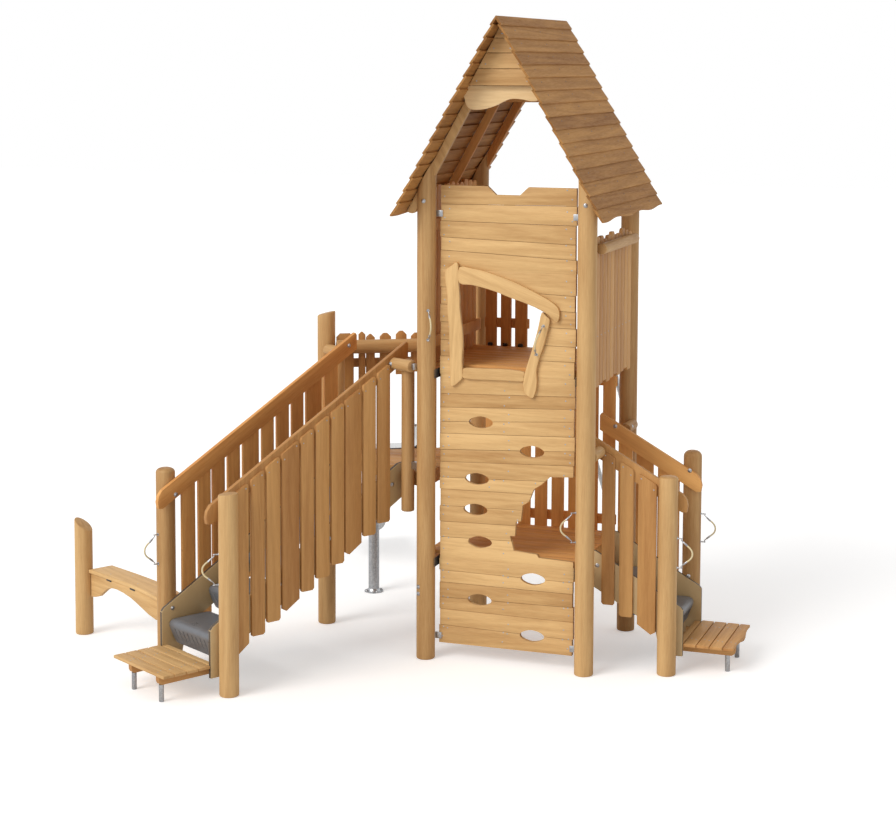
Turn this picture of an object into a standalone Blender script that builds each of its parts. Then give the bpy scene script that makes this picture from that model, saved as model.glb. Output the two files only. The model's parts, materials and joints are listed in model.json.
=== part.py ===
"""Play tower of round logs with a steep board roof, a climbing wall, two stairs, a landing with
a slide, banister bars and a bench.

The tower's frame has its origin at the foot of the front left post, X along the front, Y to the
back and Z up. One empty carries everything and brings the middle of the footprint to the world's
origin. All lengths are in metres.
"""
import bpy
import bmesh
from math import cos, sin, pi, radians, sqrt, atan
from mathutils import Vector

# Fits
GAP = 0.0003              # clearance between two pieces that touch
BITE = 0.001              # overlap of timbers fixed together in one sub-part

# Main posts
TOWER_W = 1.30            # post axis to post axis along the front
TOWER_D = 1.30            # post axis to post axis from front to back
POST_R = 0.075
POST_SIDES = 16
END_ROUND = 0.008         # rounding of a log's end

# Levels
LOW_Z = 0.23              # low platforms at the foot of the stairs
RISE = 0.206
GOING = 0.365
RIGHT_STEPS = 2
LEFT_STEPS = 5
FLOOR_Z = LOW_Z + RISE * (RIGHT_STEPS + 1)
LANDING_Z = LOW_Z + RISE * (LEFT_STEPS + 1)
UPPER_Z = 2.35
DECK_T = 0.022            # floor boards
JOIST_H = 0.092
JOIST_T = 0.040
DECK_BOARD = 0.130        # pitch of floor boards
DECK_GAP = 0.005

# Roof
RIDGE_Z = 5.084
ROOF_SLOPE = 1.8147       # rise over run
ROOF_HALF = 0.858         # ridge to eave, level
ROOF_BOARDS = 16
ROOF_BOARD_T = 0.016
ROOF_LAP = 0.020
ROOF_FRONT = -0.292       # front verge
ROOF_BACK = 0.328         # back verge, behind the back posts' axis
ROOF_WAVE = 0.010
GABLE_OUT = 0.130         # gable boards' front face before the posts' axis
GABLE_T = 0.025
RAFTER_DEPTH = 0.065
RAFTER_T = 0.045
RAFTER_SHORT = 0.046      # rafter ends this far short of the eave, along the slope
MIDDLE_RAFTER_T = 0.030

# Climbing wall
WALL_SIDE = 0.028         # post face to plank end
WALL_Y = 0.040            # front face of the planks
WALL_T = 0.035
WALL_BATTEN_T = 0.030
WALL_BATTEN_W = 0.080
WALL_SEAM = 0.003
WALL_TOP = 3.760
WALL_FOOT = 0.125
WALL_DIP = 0.065          # shallow notch in the wall's top edge
SIDE_WALL_T = 0.024
SIDE_WALL_FIRST = 0.100   # first plank behind the front posts' line
SIDE_WALL_ENDS = 0.215    # what the planks leave free, at both ends together
BEAM_FRONT = WALL_Y + WALL_T + WALL_BATTEN_T + 0.0005   # floor beams start behind the battens
HOLD_LONG = 0.195         # leaf shaped hand hole
HOLD_HIGH = 0.080

# Window frame boards and their handle
FRAME_T = 0.030

# Stairs
RAIL_IN = 0.300           # post line to the outer face of a stair's rails and stringers
RAIL_T = 0.035
RAIL_H = 0.125            # across the board
LEFT_RAIL_RISE = 1.026    # rail's top edge over the line of nosings
RIGHT_RAIL_RISE = 0.990
STRINGER_T = 0.030
STRINGER_UP = 0.100       # stringer's top edge over the line of nosings
STRINGER_DOWN = 0.196
STRINGER_FOOT = 0.130
STRINGER_LEAD = 0.050     # stringer's front end in front of the first nosing
STEP_T = 0.030
NOSE_R = 0.015
PICKET_T = 0.025
PICKET_UNDER_RAIL = 0.048
PICKET_DOWN = 0.245       # picket's foot under the line of nosings
STAIR_POST_AT = 1.72      # stair posts' distance from the post line, left stair
RIGHT_POST_AT = 0.60      # the same, right stair
LEFT_NOSE = 1.780         # first nosing's distance from the post line
RAIL_TOP_END = -0.060
RAIL_FOOT_END = 1.860

# Hanging posts beside the landing
HANG_R = 0.0525
HANG_OUT = 0.197
HANG_ALONG = 0.0235
HANG_FOOT = 1.155
HANG_TOP = 2.375
STUB_R = 0.0475
STUB_Z = 2.335
HANG_PLATE_Z = (1.500, 1.560)

# Low platforms
LOW_BOARDS = 4
LOW_DEPTH = 0.415
LOW_LEG_R = 0.024

# Landing barrier
BARRIER_RAIL_R = 0.0575
BARRIER_RAIL_Z = 2.350
BARRIER_TOP = 2.455

# Bench
BENCH_POST_AT = TOWER_D + 1.038   # from the front left post, in line with the landing's stair side
BENCH_POST_TOP = 0.962
SEAT_Z = 0.550
SEAT_T = 0.030
SEAT_W = 0.225
APRON_T = 0.035

# Slide
SLIDE_AT = 0.570          # centre of the slide from the landing post's axis
SLIDE_W = 0.440
SLIDE_WALL = 0.005
SLIDE_SIDE = 0.160
SLIDE_SIT = 0.300         # level part at the top
SLIDE_FALL = 1.650        # level length of the sloping part
SLIDE_OUT = 0.750         # level run-out
SLIDE_END_Z = 0.250
SLIDE_LEG_R = 0.048
SLIDE_LEG_AT = 0.896
ENTRY_T = 0.020
ENTRY_H = 0.340

# Banister bars
BAR_R = 0.021
BAR_LEFT = 0.710
BAR_RIGHT = 1.100
BAR_SLOPE = 1.110
BAR_FOOT = 1.560          # foot of the bars behind the back posts' axis
BAR_TOP_UNDER = 0.020     # bar axis under the upper floor's surface
BAR_PLATE_T = 0.006

# Hand grips
GRIP_OPEN = 0.230         # eye to eye
GRIP_OUT = 0.030          # post face to the line of the eyes
GRIP_BULGE = 0.095
ROPE_R = 0.009
EYE_R = 0.011
EYE_H = 0.010
EYE_STEM_R = 0.005

ROOF_ANGLE = atan(ROOF_SLOPE)
SLOPE_LENGTH = ROOF_HALF / cos(ROOF_ANGLE)
EXPOSURE = SLOPE_LENGTH / ROOF_BOARDS
RIDGE_X = TOWER_W / 2
DECK_UNDER_ROOF = 2 * ROOF_BOARD_T + GAP
PITCH = RISE / GOING
STAIR_TILT = atan(PITCH)

X = Vector((1, 0, 0))
Y = Vector((0, 1, 0))
Z = Vector((0, 0, 1))
ORIGIN = Vector((0, 0, 0))
TO_LANDING = Vector((-cos(radians(30)), sin(radians(30)), 0))      # front left post to landing post
DOWN_STAIR = Vector((-sin(radians(30)), -cos(radians(30)), 0))     # down the left stair
ALONG_BARRIER = Vector((cos(radians(30)), sin(radians(30)), 0))    # landing post to back left post
OUT_SLIDE = Vector((-sin(radians(30)), cos(radians(30)), 0))       # down the slide

FRONT_LEFT = ORIGIN
FRONT_RIGHT = X * TOWER_W
BACK_LEFT = Y * TOWER_D
BACK_RIGHT = X * TOWER_W + Y * TOWER_D
LANDING = TO_LANDING * TOWER_D   # its sides are as long as the tower is deep
RAIL_FACE = RAIL_IN - GAP - BITE                                   # outer face of a stair's rail
STAIR_POST_IN = RAIL_FACE - GAP - POST_R
RIGHT_POST_IN = RAIL_FACE - GAP - POST_R * cos(pi / POST_SIDES)
BARRIER_IN = 0.0197        # inner face of the barrier's planks, inside the line of the posts
BARRIER_OUT = 0.0053
ENTRY_OUT = BARRIER_OUT + GAP + ENTRY_T

COLOURS = {
    "log": ((0.62, 0.42, 0.20), 0.62, 0.0),
    "board": ((0.46, 0.25, 0.10), 0.62, 0.0),
    "plank": ((0.56, 0.35, 0.16), 0.62, 0.0),
    "panel": ((0.38, 0.27, 0.13), 0.50, 0.0),
    "step": ((0.07, 0.075, 0.085), 0.55, 0.0),
    "steel": ((0.55, 0.56, 0.57), 0.35, 1.0),
    "dark": ((0.05, 0.055, 0.06), 0.50, 0.0),
    "rope": ((0.75, 0.66, 0.42), 0.80, 0.0),
}


def clear_scene():
    for thing in list(bpy.data.objects):
        bpy.data.objects.remove(thing, do_unlink=True)


def make_materials():
    made = {}
    for name, (colour, roughness, metallic) in COLOURS.items():
        material = bpy.data.materials.new(name)
        material.use_nodes = True
        shader = material.node_tree.nodes["Principled BSDF"]
        shader.inputs["Base Color"].default_value = (*colour, 1.0)
        shader.inputs["Roughness"].default_value = roughness
        shader.inputs["Metallic"].default_value = metallic
        made[name] = material
    return made


# Shapes: each gives a list of points and a list of faces

class Place:
    """A flat drawing board in space: u and v lie in it, w stands on it."""

    def __init__(self, origin, u, v):
        self.origin = Vector(origin)
        self.u = Vector(u).normalized()
        self.v = Vector(v).normalized()
        self.w = self.u.cross(self.v)

    def point(self, a, b, c):
        return self.origin + self.u * a + self.v * b + self.w * c


def prism(place, outline, low, high):
    count = len(outline)
    points = [place.point(a, b, low) for a, b in outline]
    points += [place.point(a, b, high) for a, b in outline]
    faces = [list(range(count))[::-1], list(range(count, 2 * count))]
    for i in range(count):
        j = (i + 1) % count
        faces.append([i, j, count + j, count + i])
    return points, faces


def block(place, a, b, c):
    return prism(place, [(a[0], b[0]), (a[1], b[0]), (a[1], b[1]), (a[0], b[1])], c[0], c[1])


def box(a, b, c):
    """A box along the tower's own axes."""
    return block(Place(ORIGIN, X, Y), a, b, c)


def any_side(direction):
    return (Z if abs(direction.z) < 0.9 else X).cross(direction).normalized()


def rod(start, direction, stations, sides=POST_SIDES, lean=None):
    """A turned piece: (distance, radius) stations along a line; lean tilts the last face."""
    direction = Vector(direction).normalized()
    side = any_side(direction)
    other = direction.cross(side)
    points = []
    last = len(stations) - 1
    for index, (distance, radius) in enumerate(stations):
        for k in range(sides):
            turn = 2 * pi * (k + 0.5) / sides
            out = side * (radius * cos(turn)) + other * (radius * sin(turn))
            rise = lean.dot(out) if lean is not None and index >= last - 1 else 0.0
            points.append(Vector(start) + direction * (distance + rise) + out)
    faces = [list(range(sides))[::-1], [last * sides + k for k in range(sides)]]
    for index in range(last):
        for k in range(sides):
            j = (k + 1) % sides
            low = index * sides
            faces.append([low + k, low + j, low + sides + j, low + sides + k])
    return points, faces


def log_stations(length, radius, dome=0.0):
    """A log with eased ends, or with a dome at its far end."""
    ease = END_ROUND
    stations = [(0.0, radius - ease), (ease, radius)]
    if dome:
        for turn in (0, 30, 60, 80):
            step = radians(turn)
            stations.append((length - dome + dome * sin(step), radius * cos(step) * 0.75 + radius * 0.25))
    else:
        stations += [(length - ease, radius), (length, radius - ease)]
    return stations


def sweep(path, radii, sides=8):
    """A tube through points, each with its own radius, closed at both ends."""
    count = len(path)
    points = []
    first = (path[1] - path[0]).normalized()
    side = any_side(first)
    for i in range(count):
        ahead = path[min(i + 1, count - 1)] - path[max(i - 1, 0)]
        ahead.normalize()
        side = (side - ahead * side.dot(ahead)).normalized()
        other = ahead.cross(side)
        for k in range(sides):
            turn = 2 * pi * (k + 0.5) / sides
            points.append(path[i] + (side * cos(turn) + other * sin(turn)) * radii[i])
    faces = [list(range(sides))[::-1], [(count - 1) * sides + k for k in range(sides)]]
    for i in range(count - 1):
        for k in range(sides):
            j = (k + 1) % sides
            faces.append([i * sides + k, i * sides + j, (i + 1) * sides + j, (i + 1) * sides + k])
    return points, faces


def clip(outline, point, outward):
    """The part of an outline on the inner side of a line."""
    kept = []
    count = len(outline)
    heights = [(a - point[0]) * outward[0] + (b - point[1]) * outward[1] for a, b in outline]
    for i in range(count):
        j = (i + 1) % count
        if heights[i] <= 0:
            kept.append(outline[i])
        if heights[i] * heights[j] < 0:
            share = heights[i] / (heights[i] - heights[j])
            kept.append((outline[i][0] + (outline[j][0] - outline[i][0]) * share,
                         outline[i][1] + (outline[j][1] - outline[i][1]) * share))
    return kept


# Building a sub-part from its shapes

def raw_object(name, shapes):
    mesh = bpy.data.meshes.new(name)
    work = bmesh.new()
    for points, faces in shapes:
        corners = [work.verts.new(point) for point in points]
        for face in faces:
            work.faces.new([corners[i] for i in face])
    bmesh.ops.recalc_face_normals(work, faces=work.faces)
    work.to_mesh(mesh)
    work.free()
    thing = bpy.data.objects.new(name, mesh)
    bpy.context.scene.collection.objects.link(thing)
    return thing


def join_with(target, other, operation):
    modifier = target.modifiers.new(operation, "BOOLEAN")
    modifier.operation = operation
    modifier.solver = "EXACT"
    modifier.use_self = True
    modifier.object = other
    bpy.context.view_layer.update()
    graph = bpy.context.evaluated_depsgraph_get()
    mesh = bpy.data.meshes.new_from_object(target.evaluated_get(graph))
    target.modifiers.clear()
    target.data = mesh
    bpy.data.objects.remove(other, do_unlink=True)


def sub_part(name, material, shapes, cuts=(), at=None):
    """One closed body: the shapes joined, the cuts taken out, smooth where it is round."""
    thing = raw_object(name, shapes[:1])
    if len(shapes) > 1:
        join_with(thing, raw_object(name + "_rest", shapes[1:]), "UNION")
    for cut in cuts:
        join_with(thing, raw_object(name + "_cut", [cut]), "DIFFERENCE")
    work = bmesh.new()
    work.from_mesh(thing.data)
    bmesh.ops.remove_doubles(work, verts=work.verts, dist=0.00002)
    bmesh.ops.dissolve_degenerate(work, edges=work.edges, dist=0.00001)
    if at is not None:
        bmesh.ops.translate(work, verts=work.verts, vec=-Vector(at))
    work.to_mesh(thing.data)
    work.free()
    thing.data.materials.clear()
    thing.data.materials.append(MATERIALS[material])
    thing.data.shade_smooth()
    thing.data.set_sharp_from_angle(angle=radians(35))
    thing.parent = TOWER
    if at is not None:
        thing.location = at
    return thing


# Hand grips: an arc of rope between two eyes

GRIPS = []


def eye(centre, face, axis=Z):
    """An eye on a stem that comes out of a face, with flat ends for the grip to sit against."""
    centre = Vector(centre)
    face = Vector(face)
    stem = centre - face
    screwed_in = 0.012
    start = face - stem.normalized() * screwed_in
    return [rod(start, stem, [(0, EYE_STEM_R), (stem.length + screwed_in, EYE_STEM_R)], 6),
            rod(centre - axis * (EYE_H / 2), axis, [(0, EYE_R), (EYE_H, EYE_R)], 8)]


def grip_on_post(name, foot, angle, middle, radius=POST_R):
    """Notes a grip and gives the two eyes that stand on the post."""
    out = Vector((cos(radians(angle)), sin(radians(angle)), 0))
    centre = foot + out * (radius + GRIP_OUT) + Z * middle
    GRIPS.append((name, centre, out, Z))
    eyes = []
    for side in (-1, 1):
        spot = centre + Z * (side * GRIP_OPEN / 2)
        eyes += eye(spot, spot - out * (GRIP_OUT + 0.004))
    return eyes


def make_grip(name, centre, out, axis):
    """Rope arc, ferrules and end pins, drawn about its own hinge line."""
    reach = GRIP_OPEN / 2 - EYE_H / 2 - GAP
    pin = 0.012
    path = []
    radii = []
    for side in (-1, 1):
        ends = [(0.0, reach, 0.006), (0.0, reach - pin, 0.006), (0.010, reach - 0.022, 0.008),
                (0.030, reach - 0.040, 0.008), (0.046, reach - 0.054, 0.0095)]
        if side == 1:
            ends = ends[::-1]
            for turn in (-45, -22, 0, 22, 45):
                step = radians(turn)
                path.append(out * (0.052 + (GRIP_BULGE - 0.052) * (cos(step) - cos(radians(60))) * 2)
                            + axis * (0.050 * sin(step) / sin(radians(60))))
                radii.append(ROPE_R)
        for away, up, radius in ends:
            path.append(out * away + axis * (side * up))
            radii.append(radius)
    thing = sub_part(name, "rope", [sweep(path, radii, 6)])
    thing.location = centre
    return thing


# Posts

def roof_under(x):
    """Height of the rafters' top face over a place along the front."""
    return RIDGE_Z - abs(x - RIDGE_X) * ROOF_SLOPE - DECK_UNDER_ROOF / cos(ROOF_ANGLE)


def roof_post(name, foot, side, extra=()):
    top = roof_under(foot.x)
    stations = [(0.0, POST_R - END_ROUND), (END_ROUND, POST_R), (top - 0.30, POST_R), (top, POST_R)]
    points, faces = rod(foot, Z, stations)
    for k in range(POST_SIDES):
        corner = points[3 * POST_SIDES + k]
        corner.z = top - side * ROOF_SLOPE * (corner.x - foot.x) - GAP
    slot = rafter_pair(foot.y, RAFTER_T + 2 * GAP, RAFTER_DEPTH + GAP, 0.05)
    sub_part(name, "log", [(points, faces), *extra], [slot])


def plain_post(name, foot, top, dome=0.0, lean=None, radius=POST_R, extra=(), start=0.0):
    stations = log_stations(top - start, radius, dome)
    sub_part(name, "log", [rod(foot + Z * start, Z, stations, lean=lean), *extra])


def rafter_pair(y, thick, depth, above=0.0):
    """Two rafters that meet at the ridge, as one chevron standing across the tower."""
    top = DECK_UNDER_ROOF - above
    bottom = DECK_UNDER_ROOF + depth
    end = SLOPE_LENGTH - RAFTER_SHORT
    right = [(end, -top), (end, -top - 0.4 * depth), (end - 0.010, -top - 0.75 * depth),
             (end - 0.035, -bottom)]

    def place(s, n, side):
        return (RIDGE_X + side * (s * cos(ROOF_ANGLE) + n * sin(ROOF_ANGLE)),
                RIDGE_Z - s * sin(ROOF_ANGLE) + n * cos(ROOF_ANGLE))

    outline = [(RIDGE_X, RIDGE_Z - top / cos(ROOF_ANGLE))]
    outline += [place(s, n, 1) for s, n in right]
    outline += [(RIDGE_X, RIDGE_Z - bottom / cos(ROOF_ANGLE))]
    outline += [place(s, n, -1) for s, n in reversed(right)]
    return prism(Place(Y * y, X, Z), outline, -thick / 2, thick / 2)


def make_posts():
    roof_post("post_front_left", FRONT_LEFT, -1,
              grip_on_post("grip_front_left", FRONT_LEFT, -60, 2.670))
    stub_x = TOWER_W + 0.040
    reach = RAIL_IN - PICKET_T - GAP
    near_stub = rod(Vector((stub_x, 0.0, 1.700)), Y, log_stations(reach, 0.045), 12)
    roof_post("post_front_right", FRONT_RIGHT, 1,
              [near_stub, *grip_on_post("grip_front_right", FRONT_RIGHT, -150, 1.160)])
    far_stub = rod(Vector((stub_x + 0.010, TOWER_D, 1.745)), -Y, log_stations(reach, 0.045), 12)
    roof_post("post_back_right", BACK_RIGHT, 1, [far_stub])
    roof_post("post_back_left", BACK_LEFT, -1)

    plain_post("landing_post", LANDING, 2.630, lean=Vector((0.25, 0.05, 0)))

    near = TO_LANDING * HANG_OUT + DOWN_STAIR * HANG_ALONG
    stub_from = TO_LANDING * (RAIL_FACE - GAP) + DOWN_STAIR * 0.090 + Z * STUB_Z
    stub = rod(stub_from, -TO_LANDING, log_stations(RAIL_FACE - GAP - 0.064, STUB_R), 14)
    ground = Place(ORIGIN, TO_LANDING, DOWN_STAIR)
    high_plate = block(ground, (0.030, 0.068), (0.0695, 0.100), (STUB_Z - 0.025, STUB_Z + 0.025))
    low_plate = block(ground, (POST_R + GAP, HANG_OUT - 0.040), (-0.010, 0.030), HANG_PLATE_Z)
    plain_post("hanging_post", near, HANG_TOP, dome=0.040, radius=HANG_R, start=HANG_FOOT,
               extra=[stub, high_plate, low_plate])

    far_out = TOWER_D - HANG_OUT
    far = TO_LANDING * far_out + DOWN_STAIR * HANG_ALONG
    stub_from = TO_LANDING * (TOWER_D - RAIL_FACE + GAP) + DOWN_STAIR * 0.050 + Z * STUB_Z
    stub = rod(stub_from, TO_LANDING, log_stations(RAIL_FACE - POST_R - 3 * GAP, STUB_R), 14)
    plate = block(ground, (far_out + 0.040, TOWER_D - POST_R - GAP), (-0.010, 0.030), HANG_PLATE_Z)
    plain_post("landing_hanging_post", far, HANG_TOP, dome=0.040, radius=HANG_R, start=HANG_FOOT,
               extra=[stub, plate])

    front = TO_LANDING * STAIR_POST_IN + DOWN_STAIR * STAIR_POST_AT
    back = TO_LANDING * (TOWER_D - STAIR_POST_IN) + DOWN_STAIR * STAIR_POST_AT
    plain_post("left_stair_front_post", front, 1.530, lean=Vector((0.10, 0, 0)),
               extra=grip_on_post("grip_left_stair_front", front, 210, 0.960))
    plain_post("left_stair_back_post", back, 1.590, dome=0.035,
               extra=grip_on_post("grip_left_stair_back", back, 240, 0.960))

    front = Vector((TOWER_W + RIGHT_POST_AT, RIGHT_POST_IN, 0))
    back = Vector((TOWER_W + RIGHT_POST_AT, TOWER_D - RIGHT_POST_IN, 0))
    plain_post("right_stair_front_post", front, 1.560, dome=0.020,
               extra=grip_on_post("grip_right_stair_front", front, 0, 0.963))
    plain_post("right_stair_back_post", back, 1.600, dome=0.050,
               extra=grip_on_post("grip_right_stair_back", back, 0, 0.970))

    bench = TO_LANDING * BENCH_POST_AT + DOWN_STAIR * STAIR_POST_AT
    plain_post("bench_post", bench, BENCH_POST_TOP - 0.045, lean=Vector((-0.72, 0, 0)))


# Roof

def slope_place(side):
    """A drawing board on one roof slope: u runs along the ridge, v down the slope."""
    down = Vector((side * cos(ROOF_ANGLE), 0, -sin(ROOF_ANGLE)))
    return down, Vector((side * sin(ROOF_ANGLE), 0, cos(ROOF_ANGLE)))


def roof_board(side, index):
    down, out = slope_place(side)
    start = index * EXPOSURE - ROOF_LAP
    end = (index + 1) * EXPOSURE
    run = end - start
    tilt = Vector((run, ROOF_BOARD_T)).normalized()
    along = down * tilt.x + out * tilt.y
    top = Vector((RIDGE_X, 0, RIDGE_Z)) + down * start - out * (2 * ROOF_BOARD_T)
    front = ROOF_FRONT + 0.006 * sin(index * 2.1)
    back = TOWER_D + ROOF_BACK + 0.008 * sin(index * 1.3 + 1.0)
    length = run / tilt.x
    if index == ROOF_BOARDS - 1:
        steps = 16
        edge = []
        for i in range(steps + 1):
            y = front + (back - front) * i / steps
            edge.append((y, length - ROOF_WAVE * (1 + sin(y * 9.0))))
    else:
        edge = [(front, length), (back, length)]
    outline = [(back, 0.0), (front, 0.0), *edge]
    place = Place(top, Y, along)
    rise = ROOF_BOARD_T if place.w.dot(out) > 0 else -ROOF_BOARD_T
    return prism(place, outline, min(0, rise), max(0, rise))


def make_roof():
    for side, name in ((-1, "roof_left"), (1, "roof_right")):
        boards = [roof_board(side, index) for index in range(ROOF_BOARDS)]
        past = RIDGE_X - side * GAP / 2
        far = RIDGE_X - side * 0.30
        cut = box(sorted((past + side * GAP, far)), (ROOF_FRONT - 0.1, TOWER_D + ROOF_BACK + 0.1),
                  (RIDGE_Z - 0.5, RIDGE_Z + 0.2))
        sub_part(name, "board", boards, [cut])
    sub_part("front_rafters", "plank", [rafter_pair(0.0, RAFTER_T, RAFTER_DEPTH)])
    sub_part("back_rafters", "plank", [rafter_pair(TOWER_D, RAFTER_T, RAFTER_DEPTH)])
    tie_z = roof_under(RIDGE_X) - 0.62
    half = (roof_under(RIDGE_X) - tie_z) / ROOF_SLOPE
    tie = [(RIDGE_X - half, tie_z), (RIDGE_X + half, tie_z), (RIDGE_X + half - 0.03, tie_z + 0.055)]
    tie += [(RIDGE_X + half * 0.4, tie_z + 0.085), (RIDGE_X - half * 0.4, tie_z + 0.085)]
    tie += [(RIDGE_X - half + 0.03, tie_z + 0.055)]
    middle = TOWER_D * 0.515
    brace = prism(Place(Y * middle, X, Z), tie, -MIDDLE_RAFTER_T / 2 + 0.004, MIDDLE_RAFTER_T / 2 - 0.004)
    sub_part("middle_rafters", "plank", [rafter_pair(middle, MIDDLE_RAFTER_T, RAFTER_DEPTH), brace])


def make_gable():
    front = GABLE_OUT
    thick = GABLE_T
    lines = [4.895, 4.783, 4.664, 4.536]
    apex = roof_under(RIDGE_X) - GAP / cos(ROOF_ANGLE)
    board_place = Place(ORIGIN, X, Z)
    shapes = []
    tops = [apex, *lines[:-1]]
    for index, (high, low) in enumerate(zip(tops, lines)):
        seam = 0.0 if index == 0 else 0.002
        low_half = (apex - low - 0.002) / ROOF_SLOPE
        high_half = (apex - high + seam) / ROOF_SLOPE
        outline = [(RIDGE_X - low_half, low + 0.002), (RIDGE_X + low_half, low + 0.002)]
        if index == 0:
            outline += [(RIDGE_X, high)]
        else:
            outline += [(RIDGE_X + high_half, high - seam), (RIDGE_X - high_half, high - seam)]
        shapes.append(prism(board_place, outline, front - thick, front))
    scallop = [(-0.343, 4.446), (-0.310, 4.515), (0.268, 4.515), (0.308, 4.478), (0.268, 4.416),
               (0.163, 4.430), (0.050, 4.436), (-0.055, 4.388), (-0.211, 4.350), (-0.293, 4.361)]
    scallop = [(RIDGE_X + a, b) for a, b in scallop]
    for side in (-1, 1):
        scallop = clip(scallop, (RIDGE_X, apex), (side * ROOF_SLOPE, 1))
    scallop_front = front - 0.050
    shapes.append(prism(board_place, scallop, scallop_front - thick, scallop_front))
    back = RAFTER_T / 2 + GAP
    shapes.append(block(board_place, (RIDGE_X - 0.03, RIDGE_X + 0.03), (4.42, 4.92),
                        (back, front - thick + BITE)))
    for side in (-1, 1):
        middle = RIDGE_X + side * 0.20
        shapes.append(block(board_place, (middle - 0.03, middle + 0.03), (4.47, 4.60),
                            (back, front - thick + BITE)))
    sub_part("gable_boards", "panel", shapes)


# Floors

def make_tower_floor(name, surface, left_edge, right_edge):
    """Boards on two beams and two side joists, hung on the four posts by steel plates."""
    under = surface - DECK_T
    beam_front = BEAM_FRONT
    beam_back = TOWER_D - BEAM_FRONT
    shapes = []
    low = under - JOIST_H
    plate = 0.005
    ends = (POST_R + GAP, TOWER_W - POST_R - GAP)
    for y in ((beam_front, beam_front + JOIST_T), (beam_back - JOIST_T, beam_back)):
        shapes.append(box((ends[0] + plate - BITE, ends[1] - plate + BITE), y, (low, under + BITE)))
    front_span = (-0.020, beam_front + JOIST_T - 0.005)
    back_span = (beam_back - JOIST_T + 0.005, TOWER_D + 0.020)
    for x in ((ends[0], ends[0] + plate), (ends[1] - plate, ends[1])):
        for y in (front_span, back_span):
            shapes.append(box(x, y, (low + 0.010, under - 0.008)))
    middle = TOWER_W / 2
    shapes.append(box((middle - 0.018, middle + 0.018),
                      (beam_front + JOIST_T - BITE, beam_back - JOIST_T + BITE),
                      (low + 0.006, under + BITE)))
    for x in (0.0, right_edge - JOIST_T / 2 - 0.001):
        shapes.append(box((x - JOIST_T / 2 + 0.001, x + JOIST_T / 2 - 0.001), (beam_front, beam_back),
                          (low + 0.003, under + BITE)))
    count = int((beam_back - beam_front) / DECK_BOARD)
    pitch = (beam_back - beam_front + DECK_GAP) / count
    for index in range(count):
        y = beam_front + index * pitch
        shapes.append(box((left_edge, right_edge), (y, y + pitch - DECK_GAP), (under, surface)))
    sub_part(name, "plank", shapes)


def make_landing_floor():
    """A triangle of boards between three posts."""
    under = LANDING_Z - DECK_T
    stair_edge = -0.045
    slide_edge = -0.020
    tower_edge = -0.024
    centre = (LANDING + BACK_LEFT) / 3
    reach = 2.0
    square = [(centre.x - reach, centre.y - reach), (centre.x + reach, centre.y - reach),
              (centre.x + reach, centre.y + reach), (centre.x - reach, centre.y + reach)]

    def trimmed(outline, inset):
        edge = DOWN_STAIR * (stair_edge - inset)
        outline = clip(outline, edge[:2], DOWN_STAIR[:2])
        edge = LANDING + OUT_SLIDE * (slide_edge - inset)
        outline = clip(outline, edge[:2], OUT_SLIDE[:2])
        outline = clip(outline, (tower_edge - inset, 0), (1, 0))
        for post in (FRONT_LEFT, LANDING, BACK_LEFT):
            away = (post - centre).normalized()
            stop = post - away * (POST_R + GAP)
            outline = clip(outline, stop[:2], away[:2])
        return outline

    ground = Place(ORIGIN, X, Y)
    shapes = []
    pitch = DECK_BOARD
    count = int(TOWER_D / pitch) + 1
    for index in range(count):
        low = index * pitch
        strip = clip(square, (0, low), (0, -1))
        strip = clip(strip, (0, low + pitch - DECK_GAP), (0, 1))
        strip = trimmed(strip, 0.0)
        if len(strip) > 2:
            shapes.append(prism(ground, strip, under, LANDING_Z))
    outer = trimmed(square, 0.002)
    inner = trimmed(square, 0.042)
    shapes.insert(0, prism(ground, outer, under - JOIST_H, under + BITE))
    hollow = prism(ground, inner, under - JOIST_H - 0.01, under - 0.008)
    sub_part("landing_floor", "plank", shapes, [hollow])


# Walls

def wall_planks():
    """Heights of the seams between the wall's planks at its left and right ends, from the top."""
    return [
        (WALL_TOP, WALL_TOP), (3.612, 3.624), (3.482, 3.473), (3.356, 3.327), (3.254, 3.209), (3.108, 3.100),
        (2.965, 2.934), (2.830, 2.811), (2.690, 2.682), (2.550, 2.542), (2.420, 2.425), (2.280, 2.294),
        (2.122, 2.157), (2.013, 2.060), (1.897, 1.962), (1.807, 1.844), (1.676, 1.732), (1.581, 1.619),
        (1.455, 1.490), (1.362, 1.380), (1.229, 1.250), (1.103, 1.125), (0.979, 1.000), (0.805, 0.822),
        (0.711, 0.704), (0.615, 0.612), (0.492, 0.507), (0.398, 0.391), (0.270, 0.251),
        (WALL_FOOT, WALL_FOOT)]


def window_hole():
    return [(0.285, 2.320), (0.790, 2.320), (0.822, 2.352), (0.884, 2.545), (0.926, 2.700), (0.950, 2.800),
            (0.690, 2.925), (0.462, 2.992), (0.245, 3.025), (0.255, 2.794), (0.287, 2.526)]


def big_hole():
    """The crawl hole, given by distances from the right post's axis."""
    edge = [(0.0, 1.536), (0.295, 1.520), (0.367, 1.452), (0.424, 1.417), (0.464, 1.313), (0.516, 1.278),
            (0.528, 1.154), (0.569, 1.147), (0.576, 1.033), (0.617, 1.029), (0.584, 0.915), (0.396, 0.901),
            (0.380, 0.876), (0.0, 0.862)]
    return [(TOWER_W - from_right, z) for from_right, z in edge]


def leaf(centre):
    """Hand hole with pointed ends."""
    half = HOLD_LONG / 2
    bow = HOLD_HIGH / 2
    outline = []
    for i in range(5):
        step = i / 4
        outline.append((centre[0] - half + 2 * half * step, centre[1] - bow * sin(pi * step) ** 0.7 - 0.006))
    for i in range(5):
        step = 1 - i / 4
        outline.append((centre[0] - half + 2 * half * step, centre[1] + bow * sin(pi * step) ** 0.7 + 0.006))
    return outline


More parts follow.
